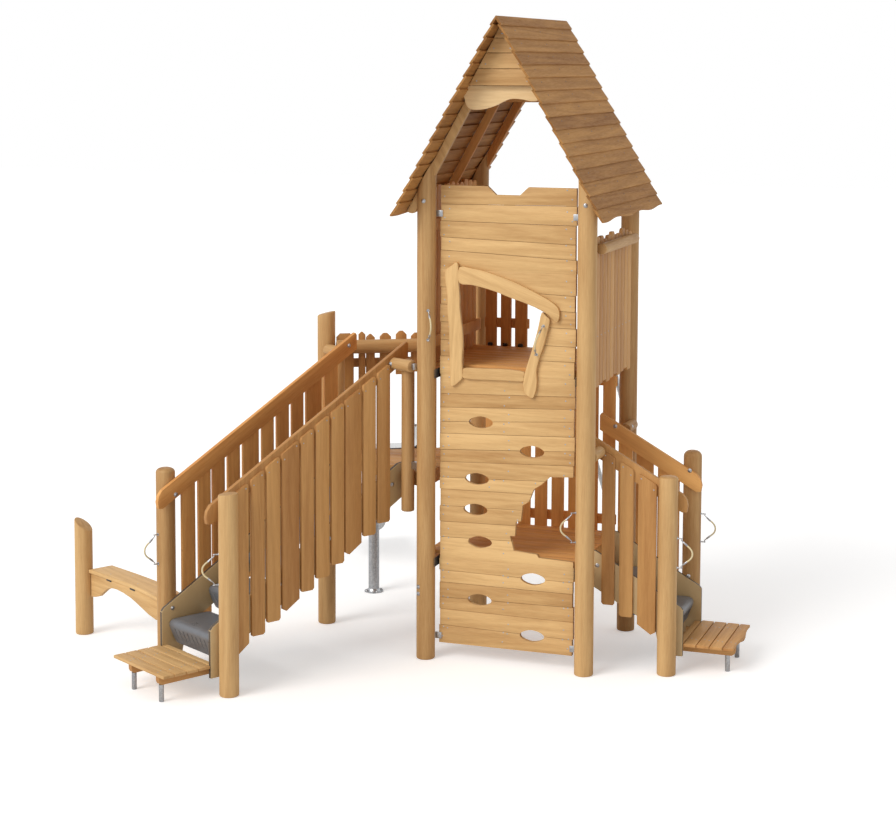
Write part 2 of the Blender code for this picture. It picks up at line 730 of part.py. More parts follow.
def wall_band(name, first, last, holes, battens, extra=()):
    """Planks from seam first to seam last, on upright battens behind them."""
    seams = wall_planks()
    left = POST_R + WALL_SIDE
    right = TOWER_W - POST_R - WALL_SIDE
    face = Place(ORIGIN, X, Z)
    planks = []
    for index in range(first, last):
        top = seams[index]
        low = seams[index + 1]
        open_top = GAP / 2 if index == first else WALL_SEAM / 2
        open_low = GAP / 2 if index == last - 1 else WALL_SEAM / 2
        nudge = 0.004 * sin(index * 2.4)
        swing = 0.005 * sin(index * 1.7 + 0.5)
        outline = [(left + nudge, low[0] + open_low), (right + swing, low[1] + open_low)]
        if index == 0:
            middle = (left + right) / 2
            dip = top[0] - WALL_DIP
            outline += [(right + swing, top[1]), (middle + 0.165, top[1]), (middle + 0.095, dip)]
            outline += [(middle - 0.095, dip), (middle - 0.165, top[0]), (left + nudge, top[0])]
        else:
            outline += [(right + swing, top[1] - open_top), (left + nudge, top[0] - open_top)]
        planks.append(prism(face, outline, -WALL_Y - WALL_T, -WALL_Y))
    behind = WALL_Y + WALL_T
    bars = []
    for x, high, foot in battens:
        bars.append(block(face, (x - WALL_BATTEN_W / 2, x + WALL_BATTEN_W / 2), (foot, high),
                          (-behind - WALL_BATTEN_T, -behind + BITE)))
    cuts = [prism(face, hole, -WALL_Y - WALL_T - 0.05, -WALL_Y + 0.05) for hole in holes]
    sub_part(name, "plank", [*bars, *planks, *extra], cuts)


def make_climbing_wall():
    left = POST_R + WALL_SIDE + WALL_BATTEN_W / 2 + 0.012
    right = TOWER_W - left
    middle = TOWER_W / 2
    face = Place(ORIGIN, X, Z)
    plate_reach = sqrt(POST_R ** 2 - 0.029 ** 2) + GAP

    def plates(z):
        inner = POST_R + WALL_SIDE + 0.020
        both = []
        for low, high in ((plate_reach, inner), (TOWER_W - inner, TOWER_W - plate_reach)):
            both.append(block(face, (low, high), (z - 0.025, z + 0.025), (-WALL_Y - BITE, -0.029)))
        return both

    seams = wall_planks()
    ends = [seams[i][0] for i in (5, 11, 23)]
    short = 0.020
    top_foot = ends[0] + short
    top_band = [(left, WALL_TOP - 0.03, top_foot), (middle, WALL_TOP - WALL_DIP - 0.02, top_foot),
                (right, WALL_TOP - 0.03, top_foot)]
    wall_band("climbing_wall_top", 0, 5, [], top_band, plates(3.540))
    wall_band("climbing_wall_window", 5, 11, [window_hole()],
              [(left, ends[0] - short, ends[1] + short), (right, ends[0] - short, ends[1] + short)])
    holds = [(0.439, 1.913), (0.858, 1.708), (0.409, 1.462), (0.398, 1.217), (0.437, 0.961)]
    wall_band("climbing_wall_middle", 11, 23, [big_hole(), *[leaf(hold) for hold in holds]],
              [(left, ends[1] - short, ends[2] + short), (middle - 0.02, ends[1] - short, ends[2] + short),
               (right, ends[1] - short, 1.580)])
    low_holds = [(0.873, 0.703), (0.435, 0.497), (0.868, 0.250)]
    foot_band = [(x, ends[2] - short, WALL_FOOT + short) for x in (left, middle - 0.02, right)]
    wall_band("climbing_wall_foot", 23, 29, [leaf(hold) for hold in low_holds], foot_band, plates(0.184))


def make_window_frame():
    face = Place(ORIGIN, X, Z)
    low = -WALL_Y + GAP
    high = low + FRAME_T
    left = [(0.144, 3.093), (0.240, 3.170), (0.262, 3.138), (0.262, 3.003), (0.272, 2.794), (0.301, 2.526),
            (0.298, 2.256), (0.218, 2.181), (0.192, 2.196), (0.191, 2.411), (0.182, 2.655)]
    top = [(0.263, 3.129), (0.486, 3.101), (0.684, 3.040), (0.894, 2.951), (1.068, 2.847), (1.082, 2.787),
           (1.059, 2.724), (0.936, 2.814), (0.685, 2.902), (0.458, 2.972), (0.263, 3.002)]
    right = [(0.933, 2.807), (1.002, 2.756), (0.986, 2.656), (0.925, 2.453), (0.898, 2.345), (0.896, 2.197),
             (0.866, 2.127), (0.808, 2.165), (0.790, 2.218), (0.807, 2.339), (0.869, 2.543), (0.909, 2.692)]
    sill = [(0.302, 2.336), (0.491, 2.343), (0.688, 2.346), (0.805, 2.330), (0.790, 2.258), (0.548, 2.254),
            (0.299, 2.256)]

    def shrink(outline):
        middle_a = sum(a for a, b in outline) / len(outline)
        middle_b = sum(b for a, b in outline) / len(outline)
        return [(a + (0.0008 if a < middle_a else -0.0008), b + (0.0008 if b < middle_b else -0.0008))
                for a, b in outline]

    axis_top = Vector((0.951, 0, 2.692))
    axis_low = Vector((0.899, 0, 2.482))
    axis = (axis_top - axis_low).normalized()
    face_y = -high
    centre = (axis_top + axis_low) / 2 + Y * (face_y - GRIP_OUT)
    eyes = []
    for side in (-1, 1):
        spot = centre + axis * (side * GRIP_OPEN / 2)
        eyes += eye(spot, Vector((spot.x, face_y, spot.z)), axis)
    GRIPS.append(("grip_window", centre, -Y, axis))
    sub_part("window_board_left", "plank", [prism(face, shrink(left), low, high)])
    sub_part("window_board_top", "plank", [prism(face, shrink(top), low, high)])
    sub_part("window_board_right", "plank", [prism(face, shrink(right), low, high), *eyes])
    sub_part("window_sill", "plank", [prism(face, shrink(sill), low, high)])


def wavy_top(index, high, amount=0.02):
    return high + amount * sin(index * 1.9 + 0.6)


def upright(place, a, low, high, width, thick, round_at=0.02):
    """A plank with eased top corners."""
    round_at = min(round_at, width * 0.4)
    outline = [(a, low), (a + width, low), (a + width, high - round_at), (a + width - round_at, high),
               (a + round_at, high), (a, high - round_at)]
    return prism(place, outline, thick[0], thick[1])


def make_side_walls():
    thick = SIDE_WALL_T
    batten = 0.028
    count = 10
    first = SIDE_WALL_FIRST
    pitch = (TOWER_D - SIDE_WALL_ENDS) / count
    # left wall stands on the floor's side joist, beside the ends of the boards
    left_foot = UPPER_Z - DECK_T + BITE + GAP
    left_top = roof_under(-thick / 2) - 0.0707
    side = Place(ORIGIN, Y, Z)
    span = (POST_R + 2 * GAP, TOWER_D - POST_R - 2 * GAP)
    shapes = []
    for z in (2.48, 3.40):
        shapes.append(block(side, span, (z, z + 0.09), (thick / 2 - BITE, thick / 2 + batten)))
    for index in range(count):
        top = wavy_top(index, left_top, 0.012)
        shapes.append(upright(side, first + index * pitch, left_foot, top, pitch - 0.008,
                              (-thick / 2, thick / 2)))
    cut = rafter_pair(TOWER_D * 0.515, MIDDLE_RAFTER_T + 2 * GAP, RAFTER_DEPTH + GAP, 0.02)
    sub_part("left_wall_planks", "board", shapes, [cut])
    # right wall hangs outside the floor's edge
    wall_x = TOWER_W + 0.020 + GAP
    inner = (wall_x - batten, wall_x + BITE)
    shapes = [block(side, span, (3.24, 3.33), inner)]
    for index in range(count):
        top = wavy_top(index, 3.375)
        foot = 2.225 + 0.012 * (index % 3)
        shapes.append(upright(side, first + index * pitch, foot, top, pitch - 0.008,
                              (wall_x, wall_x + thick)))
    sub_part("right_wall_planks", "board", shapes)
    rail_r = 0.045
    rail_x = wall_x + thick + GAP + rail_r - 0.004
    rail = rod(Vector((rail_x, 0.085, 3.300)), Y, log_stations(TOWER_D - 0.270, rail_r), 16)
    flat = box((rail_x - 0.2, wall_x + thick + GAP), (0.0, TOWER_D), (3.2, 3.4))
    sub_part("right_wall_rail", "log", [rail], [flat])


def make_back_walls():
    face = Place(ORIGIN, X, Z)
    thick = 0.024
    y = TOWER_D - BEAM_FRONT + GAP
    inside = POST_R + 2 * GAP
    shapes = [block(face, (inside, 0.460), (2.50, 2.58), (-y - thick - 0.028, -y - thick + BITE)),
              block(face, (inside, 0.460), (3.30, 3.38), (-y - thick - 0.028, -y - thick + BITE))]
    for index, (low, high) in enumerate(((0.090, 0.185), (0.223, 0.312), (0.348, 0.452))):
        shapes.append(upright(face, low, 2.262, wavy_top(index, 3.46), high - low, (-y - thick, -y)))
    sub_part("back_wall_upper", "board", shapes)
    shapes = []
    for z in (0.90, 2.06):
        shapes.append(block(face, (inside, TOWER_W - inside), (z, z + 0.08),
                            (-y - thick - 0.028, -y - thick + BITE)))
    pitch = (TOWER_W - 0.136) / 8
    for index in range(8):
        left = 0.095 + pitch * index
        shapes.append(upright(face, left, 0.790, 2.205, pitch - 0.0405, (-y - thick, -y)))
    sub_part("back_wall_lower", "board", shapes)


# Stairs. Each stair has its own drawing board: u down the stair, v up, w towards the stair's far side

def stair_place(left):
    """u runs down the stair from the post line, v up; w is set by the side."""
    if left:
        return Place(ORIGIN, DOWN_STAIR, Z)
    return Place(ORIGIN + X * TOWER_W, X, Z)


def across(place, left, low, high):
    """Distances from the near post line, as distances along the board's w."""
    inward = TO_LANDING if left else Y
    sign = 1 if place.w.dot(inward) > 0 else -1
    return tuple(sorted((sign * low, sign * high)))


class Stair:
    """Sizes that one stair's pieces share."""

    def __init__(self, left):
        self.left = left
        self.place = stair_place(left)
        self.steps = LEFT_STEPS if left else RIGHT_STEPS
        self.top_z = LANDING_Z if left else FLOOR_Z
        self.first = LEFT_NOSE if left else 0.658
        self.top_edge = self.first - GOING * self.steps
        self.rail_rise = LEFT_RAIL_RISE if left else RIGHT_RAIL_RISE
        self.width = TOWER_D

    def nosing(self, s):
        return self.top_z - PITCH * (s - self.top_edge)

    def band(self, low, high):
        return across(self.place, self.left, low, high)

    def near_or_far(self, near, low, high):
        """The same piece on the near side, or mirrored to the far side."""
        if near:
            return self.band(low, high)
        return self.band(self.width - high, self.width - low)


def flight(stair):
    """Moulded treads and risers as one folded sheet."""
    top = []
    under = []
    for k in range(stair.steps):
        s = stair.first - GOING * k
        z = LOW_Z + RISE * (k + 1)
        foot = LOW_Z + GAP if k == 0 else z - RISE
        top += [(s, foot), (s, z - NOSE_R), (s - NOSE_R * 0.3, z - NOSE_R * 0.3), (s - NOSE_R, z)]
        under += [(s - STEP_T, foot - (0 if k == 0 else STEP_T)), (s - STEP_T, z - STEP_T)]
    last_z = LOW_Z + RISE * stair.steps
    back = stair.top_edge + GAP
    outline = top + [(back, last_z), (back, last_z - STEP_T)] + under[::-1]
    inner = RAIL_IN + STRINGER_T + GAP
    return prism(stair.place, outline, *stair.band(inner, stair.width - inner))


def stringer(stair, near):
    end = stair.first + STRINGER_LEAD
    back = stair.top_edge + GAP
    foot_from = end - 0.180
    up = STRINGER_UP
    turn = foot_from - 0.040
    outline = [(back, stair.nosing(back) - STRINGER_DOWN), (turn, stair.nosing(turn) - STRINGER_DOWN),
               (foot_from, STRINGER_FOOT), (end, STRINGER_FOOT), (end, stair.nosing(end) + up - 0.015),
               (end - 0.020, stair.nosing(end - 0.020) + up)]
    round_at = back + 0.080
    outline += [(round_at, stair.nosing(round_at) + up), (back + 0.030, stair.nosing(round_at) + up + 0.006),
                (back, stair.nosing(round_at) + up - 0.030)]
    return prism(stair.place, outline, *stair.near_or_far(near, RAIL_IN, RAIL_IN + STRINGER_T))


def hand_rail(stair, near, start, end):
    """Sloping board with rounded lower end and a plumb upper end."""
    depth = RAIL_H / cos(STAIR_TILT)

    def top(s):
        return stair.nosing(s) + stair.rail_rise

    outline = [(start, top(start) - depth), (end - 0.045, top(end - 0.045) - depth),
               (end - 0.008, top(end) - depth * 0.80), (end, top(end) - depth * 0.45),
               (end - 0.010, top(end) - depth * 0.12), (end - 0.040, top(end - 0.040)),
               (start + 0.012, top(start + 0.012)), (start, top(start) - 0.025)]
    return prism(stair.place, outline, *stair.near_or_far(near, RAIL_FACE, RAIL_IN + RAIL_T))


def picket(stair, near, low, high, slanted_foot):
    """Upright board under the rail; its top follows the rail's slope."""
    rail_top = stair.nosing(low) + stair.rail_rise - PICKET_UNDER_RAIL
    far_top = stair.nosing(high) + stair.rail_rise - PICKET_UNDER_RAIL
    foot = stair.nosing((low + high) / 2) - PICKET_DOWN
    ease = 0.020
    outline = [(low, rail_top - ease - 0.004), (low + ease * 0.3, rail_top - ease * 0.5),
               (low + ease, rail_top - ease * PITCH), (high - 0.006, far_top + 0.002),
               (high, far_top - 0.010)]
    if slanted_foot:
        outline += [(high, foot - 0.020), (high - 0.035, foot - 0.040), (low, foot + 0.035)]
    else:
        outline += [(high, foot), (high - 0.008, foot - 0.010), (low + 0.015, foot - 0.010)]
        outline += [(low, foot + 0.006)]
    return prism(stair.place, outline, *stair.near_or_far(near, RAIL_IN - PICKET_T, RAIL_IN - GAP))


def balustrade(name, stair, near, start, end, pickets):
    shapes = [hand_rail(stair, near, start, end)]
    for low, high, slanted in pickets:
        shapes.append(picket(stair, near, low, high, slanted))
    sub_part(name, "plank", shapes)


def low_platform(name, stair, leg_at, legs, wavy):
    """Boards across the foot of a stair on two joists with steel legs."""
    place = stair.place
    inner = RAIL_IN + STRINGER_T + GAP
    start = stair.first + STRINGER_LEAD + 0.003
    under = LOW_Z - DECK_T
    pitch = LOW_DEPTH / LOW_BOARDS
    shapes = []
    joist_low = under - 0.078
    for middle in legs:
        joist = (stair.first - 0.045, start + LOW_DEPTH - 0.030)
        shapes.append(block(place, joist, (joist_low, under + BITE),
                            stair.band(middle - 0.022, middle + 0.022)))
    shapes.append(block(place, (stair.first - 0.030, stair.first + 0.020), (joist_low + 0.004, under + BITE),
                        stair.band(inner, stair.width - inner)))
    first_board = (stair.first + GAP, start - DECK_GAP)
    shapes.append(block(place, first_board, (under, LOW_Z), stair.band(inner, stair.width - inner)))
    for index in range(LOW_BOARDS):
        low = start + index * pitch
        high = low + pitch - DECK_GAP
        near_end, far_end = stair.band(RAIL_IN, stair.width - RAIL_IN)
        flat = Place(place.origin, place.u, place.w)
        outline = [(low, near_end), (low, far_end)]
        if wavy and index == LOW_BOARDS - 1:
            for i in range(9):
                c = far_end + (near_end - far_end) * i / 8
                outline.append((high - 0.012 * (1 + sin(i * 1.1)), c))
        else:
            outline += [(high, far_end), (high, near_end)]
        level = sorted((flat.w.z * under, flat.w.z * LOW_Z))
        shapes.append(prism(flat, outline, *level))
    for middle in legs:
        foot = place.point(leg_at, 0, sum(stair.band(middle, middle)) / 2)
        shapes.append(rod(foot, Z, [(0, LOW_LEG_R), (joist_low + 0.02, LOW_LEG_R)], 8))
        shapes.append(rod(foot, Z, [(0, 0.045), (0.006, 0.045)], 8))
    sub_part(name, "plank", shapes)


def make_left_stair():
    stair = Stair(True)
    sub_part("left_stair_steps", "step", [flight(stair)])
    sub_part("left_stair_stringer_near", "panel", [stringer(stair, True)])
    sub_part("left_stair_stringer_far", "panel", [stringer(stair, False)])
    near = [(1.501, 1.639, True), (1.354, 1.472, False), (1.210, 1.332, False), (1.032, 1.189, True),
            (0.892, 1.010, False), (0.744, 0.870, False), (0.600, 0.720, False), (0.429, 0.584, True),
            (0.286, 0.407, False), (0.142, 0.262, False)]
    balustrade("left_balustrade_near", stair, True, RAIL_TOP_END, RAIL_FOOT_END, near)
    far = [(1.500, 1.620, False), (1.355, 1.468, False), (1.222, 1.335, False), (1.078, 1.192, False),
           (0.897, 1.047, True), (0.751, 0.863, False), (0.602, 0.719, False), (0.457, 0.570, False),
           (0.275, 0.427, True), (0.110, 0.242, False)]
    balustrade("left_balustrade_far", stair, False, RAIL_TOP_END, RAIL_FOOT_END, far)
    low_platform("left_low_platform", stair, 2.180, (0.430, 0.810), False)


def make_right_stair():
    stair = Stair(False)
    sub_part("right_stair_steps", "step", [flight(stair)])
    sub_part("right_stair_stringer_near", "panel", [stringer(stair, True)])
    sub_part("right_stair_stringer_far", "panel", [stringer(stair, False)])
    near = [(0.061, 0.162, False), (0.204, 0.310, False), (0.350, 0.494, True)]
    balustrade("right_balustrade_near", stair, True, -0.058, 0.735, near)
    far = [(0.000, 0.115, False), (0.150, 0.292, True), (0.330, 0.425, False), (0.460, 0.508, False)]
    balustrade("right_balustrade_far", stair, False, -0.150, 0.700, far)
    low_platform("right_low_platform", stair, 1.030, (0.468, 0.850), True)


# Landing barrier

def make_barrier():
    """Planks on the landing's slide side behind a round rail; the ones over the slide are short."""
    place = Place(LANDING, ALONG_BARRIER, Z)
    sign = 1 if place.w.dot(OUT_SLIDE) > 0 else -1
    thick = tuple(sorted((sign * -BARRIER_IN, sign * BARRIER_OUT)))
    rail_start = LANDING + ALONG_BARRIER * 0.0757 - OUT_SLIDE * 0.070 + Z * BARRIER_RAIL_Z
    shapes = [rod(rail_start, ALONG_BARRIER, log_stations(TOWER_D - 0.230, BARRIER_RAIL_R), 16)]
    foot = LANDING_Z - 0.090
    planks = [(0.083, 0.227, foot), (0.269, 0.325, foot), (0.332, 0.405, 2.120), (0.448, 0.542, 2.145),
              (0.584, 0.674, 2.100), (0.712, 0.800, 2.120), (0.840, 0.930, foot), (0.965, 1.065, foot),
              (1.100, 1.185, foot)]
    last = TOWER_D - POST_R - 0.035
    for index, (low, high, bottom) in enumerate(plank for plank in planks if plank[1] < last):
        top = BARRIER_TOP + 0.012 * sin(index * 2.0)
        shapes.append(upright(place, low, bottom, top, high - low, thick, 0.030))
    cross = tuple(sorted((sign * (BARRIER_OUT - BITE), sign * 0.040)))
    shapes.append(block(place, (0.100, TOWER_D - 0.130), (2.167, 2.239), cross))
    sub_part("landing_barrier", "board", shapes)


# Slide

def slide_line():
    """Distance out and height of the bed's surface."""
    top = LANDING_Z
    line = [(ENTRY_OUT + GAP, top), (SLIDE_SIT - 0.12, top), (SLIDE_SIT, top - 0.012)]
    line.append((SLIDE_SIT + 0.10, top - 0.060))
    steep_end = SLIDE_SIT + SLIDE_FALL
    start = line[-1]
    finish = (steep_end - 0.12, SLIDE_END_Z + 0.12)
    for i in range(1, 5):
        share = i / 4
        line.append((start[0] + (finish[0] - start[0]) * share, start[1] + (finish[1] - start[1]) * share))
    line += [(steep_end + 0.02, SLIDE_END_Z + 0.045), (steep_end + 0.16, SLIDE_END_Z + 0.012),
             (steep_end + 0.32, SLIDE_END_Z), (steep_end + SLIDE_OUT - 0.05, SLIDE_END_Z),
             (steep_end + SLIDE_OUT, SLIDE_END_Z - 0.020)]
    return line


def slide_height(out):
    line = slide_line()
    for (a, za), (b, zb) in zip(line, line[1:]):
        if a <= out <= b:
            return za + (zb - za) * (out - a) / (b - a)
    return line[-1][1]


def make_slide():
    centre = LANDING + ALONG_BARRIER * SLIDE_AT
    half = SLIDE_W / 2
    corner = 0.070
    inner = [(-half, SLIDE_SIDE), (-half, corner)]
    for turn in (radians(30), radians(60)):
        inner.append((-half + corner - corner * cos(turn), corner - corner * sin(turn)))
    inner += [(-half + corner, 0.0)]
    inner += [(-a, b) for a, b in reversed(inner)]
    outer = []
    for a, b in reversed(inner):
        if abs(a) > half - 0.001:
            outer.append((a + (SLIDE_WALL if a > 0 else -SLIDE_WALL), b))
        else:
            step = Vector((a * 0.3, -1)).normalized() * SLIDE_WALL
            outer.append((a + step.x, b + step.y))
    section = inner + outer
    rows = []
    line = slide_line()
    for index, (out, z) in enumerate(line):
        before = line[max(index - 1, 0)]
        after = line[min(index + 1, len(line) - 1)]
        run = Vector((after[0] - before[0], after[1] - before[1])).normalized()
        lift = Vector((-run.y, run.x))
        if index in (0, len(line) - 1):
            lift = Vector((0, 1))
        for a, b in section:
            rows.append(centre + ALONG_BARRIER * a + OUT_SLIDE * (out + lift.x * b) + Z * (z + lift.y * b))
    count = len(section)
    faces = [list(range(count))[::-1], [(len(line) - 1) * count + k for k in range(count)]]
    for i in range(len(line) - 1):
        for k in range(count):
            j = (k + 1) % count
            faces.append([i * count + k, i * count + j, (i + 1) * count + j, (i + 1) * count + k])
    sub_part("slide_bed", "steel", [(rows, faces)])

    leg_at = centre + OUT_SLIDE * SLIDE_LEG_AT - ALONG_BARRIER * 0.040
    fall = (slide_height(SLIDE_LEG_AT - 0.05) - slide_height(SLIDE_LEG_AT + 0.05)) / 0.1
    top = slide_height(SLIDE_LEG_AT) - SLIDE_WALL * sqrt(1 + fall * fall) - 0.0006
    sides = 14
    stations = [(0.0, SLIDE_LEG_R), (0.20, SLIDE_LEG_R), (top - 0.10, SLIDE_LEG_R), (top, SLIDE_LEG_R)]
    points, faces = rod(leg_at, Z, stations, sides)
    for k in range(sides):
        corner_point = points[3 * sides + k]
        away = (corner_point - leg_at).dot(OUT_SLIDE)
        corner_point.z = top - fall * away
    foot = rod(leg_at, Z, [(0, 0.085), (0.008, 0.085)], sides)
    sub_part("slide_leg", "steel", [(points, faces), foot])

    place = Place(LANDING, ALONG_BARRIER, Z)
    sign = 1 if place.w.dot(OUT_SLIDE) > 0 else -1
    low = LANDING_Z - 0.090
    high = LANDING_Z + ENTRY_H
    wide = half + 0.045
    outline = [(SLIDE_AT - wide, low), (SLIDE_AT + wide, low), (SLIDE_AT + wide, high - 0.03),
               (SLIDE_AT + wide - 0.03, high)]
    opening = [(SLIDE_AT + half, high), (SLIDE_AT + half, LANDING_Z + corner)]
    inside = SLIDE_AT + half - corner
    opening += [(inside + corner * cos(radians(t)), LANDING_Z + corner - corner * sin(radians(t)))
                for t in (30, 60)]
    opening += [(inside, LANDING_Z)]
    opening += [(2 * SLIDE_AT - a, b) for a, b in reversed(opening)]
    outline += opening
    outline += [(SLIDE_AT - wide + 0.03, high), (SLIDE_AT - wide, high - 0.03)]
    thick = tuple(sorted((sign * (BARRIER_OUT + GAP), sign * ENTRY_OUT)))
    sub_part("slide_entry", "dark", [prism(place, outline, *thick)])


# Banister bars

def make_banister():
    floor_back = TOWER_D - BEAM_FRONT
    plate_y = floor_back + GAP
    top_z = UPPER_Z - BAR_TOP_UNDER
    foot_y = TOWER_D + BAR_FOOT
    bend = 0.11
    corner_y = floor_back + 0.235
    line_drop = (foot_y - corner_y) * BAR_SLOPE
    knee = Vector((0, foot_y, top_z - line_drop))
    top = Vector((0, corner_y, top_z))
    down = Vector((0, 1, -BAR_SLOPE)).normalized()
    shapes = []
    for x in (BAR_LEFT, BAR_RIGHT):
        path = [Vector((0, plate_y + 0.003, top_z)), top - Y * bend]
        path += [top - Y * (bend * 0.35) + down * (bend * 0.12), top + down * bend * 0.8]
        path += [knee - down * bend * 1.2, knee - down * (bend * 0.45) - Z * (bend * 0.12)]
        path += [knee - Z * (bend * 0.55) - down * (bend * 0.06), knee - Z * (bend * 1.3)]
        path += [Vector((0, foot_y, 0.0))]
        path = [point + X * x for point in path]
        shapes.append(sweep(path, [BAR_R] * len(path), 10))
        shapes.append(rod(Vector((x, foot_y, 0)), Z, [(0, 0.050), (0.006, 0.050)], 8))
    plate = box((BAR_LEFT - 0.050, BAR_RIGHT + 0.050), (plate_y, plate_y + BAR_PLATE_T),
                (UPPER_Z - 0.090, UPPER_Z + 0.010))
    sub_part("banister_bars", "steel", [plate, *shapes])


# Bench

def make_bench():
    place = Place(DOWN_STAIR * STAIR_POST_AT, TO_LANDING, DOWN_STAIR)
    lift = 1 if place.w.z > 0 else -1
    inner = TOWER_D - STAIR_POST_IN + POST_R + GAP
    outer = BENCH_POST_AT - POST_R - GAP
    front = [(inner, 0.040), (inner + 0.25, 0.002), (inner + 0.55, -0.012), (inner + 0.85, -0.006)]
    front.append((outer, 0.004))
    back = [(a, b - SEAT_W) for a, b in reversed(front)]
    level = sorted((lift * (SEAT_Z - SEAT_T), lift * SEAT_Z))
    seat = front + back
    sub_part("bench_seat", "plank", [prism(place, seat, *level)])
    upright_place = Place(DOWN_STAIR * STAIR_POST_AT, TO_LANDING, Z)
    side = 1 if upright_place.w.dot(DOWN_STAIR) > 0 else -1
    under = SEAT_Z - SEAT_T - GAP
    lower = [(inner, 0.345), (inner + 0.12, 0.336), (inner + 0.35, 0.394), (inner + 0.60, 0.451),
             (inner + 0.77, 0.454), (inner + 0.875, 0.416), (outer - 0.130, 0.343), (outer, 0.315)]
    outline = lower + [(outer, under), (inner, under)]
    band = tuple(sorted((side * -0.055, side * (-0.055 + APRON_T))))
    sub_part("bench_apron", "plank", [prism(upright_place, outline, *band)])


def centre_on_origin():
    """The tower's empty brings the middle of the whole footprint to the world's origin."""
    bpy.context.view_layer.update()
    low = Vector((1e9, 1e9, 1e9))
    high = -low
    for thing in bpy.data.objects:
        if thing.type != "MESH":
            continue
        for vertex in thing.data.vertices:
            spot = vertex.co + thing.location
            low = Vector([min(a, b) for a, b in zip(low, spot)])
            high = Vector([max(a, b) for a, b in zip(high, spot)])
    TOWER.location = Vector((-(low.x + high.x) / 2, -(low.y + high.y) / 2, -low.z))
    bpy.context.view_layer.update()
    print("footprint", low, high, "tower at", TOWER.location)


clear_scene()
MATERIALS = make_materials()
TOWER = bpy.data.objects.new("tower_frame", None)
bpy.context.scene.collection.objects.link(TOWER)
make_posts()
make_roof()
make_gable()
make_tower_floor("lower_floor", FLOOR_Z, -0.020, TOWER_W - 0.072)
make_tower_floor("upper_floor", UPPER_Z, SIDE_WALL_T / 2 + GAP, TOWER_W + 0.020)
make_landing_floor()
make_climbing_wall()
make_window_frame()
make_side_walls()
make_back_walls()
make_left_stair()
make_right_stair()
make_barrier()
make_slide()
make_banister()
make_bench()
for grip in GRIPS:
    make_grip(*grip)
centre_on_origin()
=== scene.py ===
# %% [markdown]
# # A play tower with a slide
# The real tower is a handful of simple crafts put together: peeled logs stand in the ground, boards
# are screwed between them, plastic treads and steel fittings do the rest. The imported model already
# holds every solid at its real size. This lesson gives each of them the surface it has outdoors:
# rounded edges, grain that runs along each board, screws, rope and galvanised steel.

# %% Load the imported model
import json
import random
from math import atan, cos, pi, radians, sin, sqrt

import bmesh
import bpy
from mathutils import Matrix, Vector, noise
from mathutils.bvhtree import BVHTree


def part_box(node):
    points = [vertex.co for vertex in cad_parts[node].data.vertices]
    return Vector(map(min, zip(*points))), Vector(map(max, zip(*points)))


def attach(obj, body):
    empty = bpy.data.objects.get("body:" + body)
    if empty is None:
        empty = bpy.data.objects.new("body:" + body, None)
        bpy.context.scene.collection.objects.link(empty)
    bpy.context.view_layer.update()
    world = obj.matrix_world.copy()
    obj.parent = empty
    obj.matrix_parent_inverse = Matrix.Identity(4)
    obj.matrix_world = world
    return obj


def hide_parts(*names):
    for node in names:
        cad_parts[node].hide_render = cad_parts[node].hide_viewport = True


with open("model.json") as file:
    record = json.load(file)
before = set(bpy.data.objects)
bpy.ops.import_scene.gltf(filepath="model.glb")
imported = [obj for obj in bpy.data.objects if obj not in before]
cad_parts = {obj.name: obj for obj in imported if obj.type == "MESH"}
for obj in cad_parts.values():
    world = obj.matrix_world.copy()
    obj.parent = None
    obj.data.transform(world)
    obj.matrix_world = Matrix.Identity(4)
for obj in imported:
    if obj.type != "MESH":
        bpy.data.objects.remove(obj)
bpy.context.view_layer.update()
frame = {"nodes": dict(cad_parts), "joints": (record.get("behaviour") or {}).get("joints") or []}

# %% [markdown]
# ## The tower's own directions
# Everything is easier to place when a few directions have names. The back left post is a plain log,
# so its box gives the tower's corner; the front left post's foot is where all distances start.
# The landing is a triangle, so the long stair and the slide leave the tower at 30 degrees.

# %% Directions and driving sizes
X = Vector((1, 0, 0))
Y = Vector((0, 1, 0))
Z = Vector((0, 0, 1))
TOWER = 1.30                    # post axis to post axis, both ways
POST_R = 0.075
GAP = 0.0003
corner_low, corner_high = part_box("post_back_left")
ORIGIN = (corner_low + corner_high) / 2 - Y * TOWER
ORIGIN.z = 0.0
TO_LANDING = Vector((-cos(radians(30)), 0.5, 0))
DOWN_STAIR = Vector((-0.5, -cos(radians(30)), 0))
ALONG_BARRIER = Vector((cos(radians(30)), 0.5, 0))
OUT_SLIDE = Vector((-0.5, cos(radians(30)), 0))
FLOOR_Z = 0.848
LANDING_Z = 1.466
UPPER_Z = 2.350
RISE = 0.206
GOING = 0.365
LANDING = ORIGIN + TO_LANDING * TOWER
ROOF_SLOPE = 1.8147
ROOF_ANGLE = atan(ROOF_SLOPE)
RIDGE = ORIGIN + X * TOWER / 2 + Z * 5.084
print("front left post stands at", [round(v, 3) for v in ORIGIN])


def spot(x, y, z):
    """A point given in the tower's own frame."""
    return ORIGIN + Vector((x, y, z))


# %% [markdown]
# ## Camera and light
# The picture was taken from the front, a little to the right, with the eye near the height of the
# eaves. The camera looks down by five degrees, and a shifted lens keeps the posts nearly upright. A
# white world gives the even studio light, and one broad sun from the upper left gives the logs
# their round look. Rays that go straight to the camera, or reach it through a reflection or a
# clear thing, see a pure white background.

# %% Camera
def into_scene(name, data):
    """A new object, put into the scene."""
    thing = bpy.data.objects.new(name, data)
    bpy.context.scene.collection.objects.link(thing)
    return thing


YAW, PITCH, ROLL = 0.33251, 0.08991, 0.00419
EYE = spot(5.25104, -14.30067, 4.70528)
IMAGE_W, IMAGE_H = 896, 825
FOCAL = 1962.262                # in pixels of the photograph
CENTRE_X, CENTRE_Y = 464.546, 239.986
SENSOR = 36.0

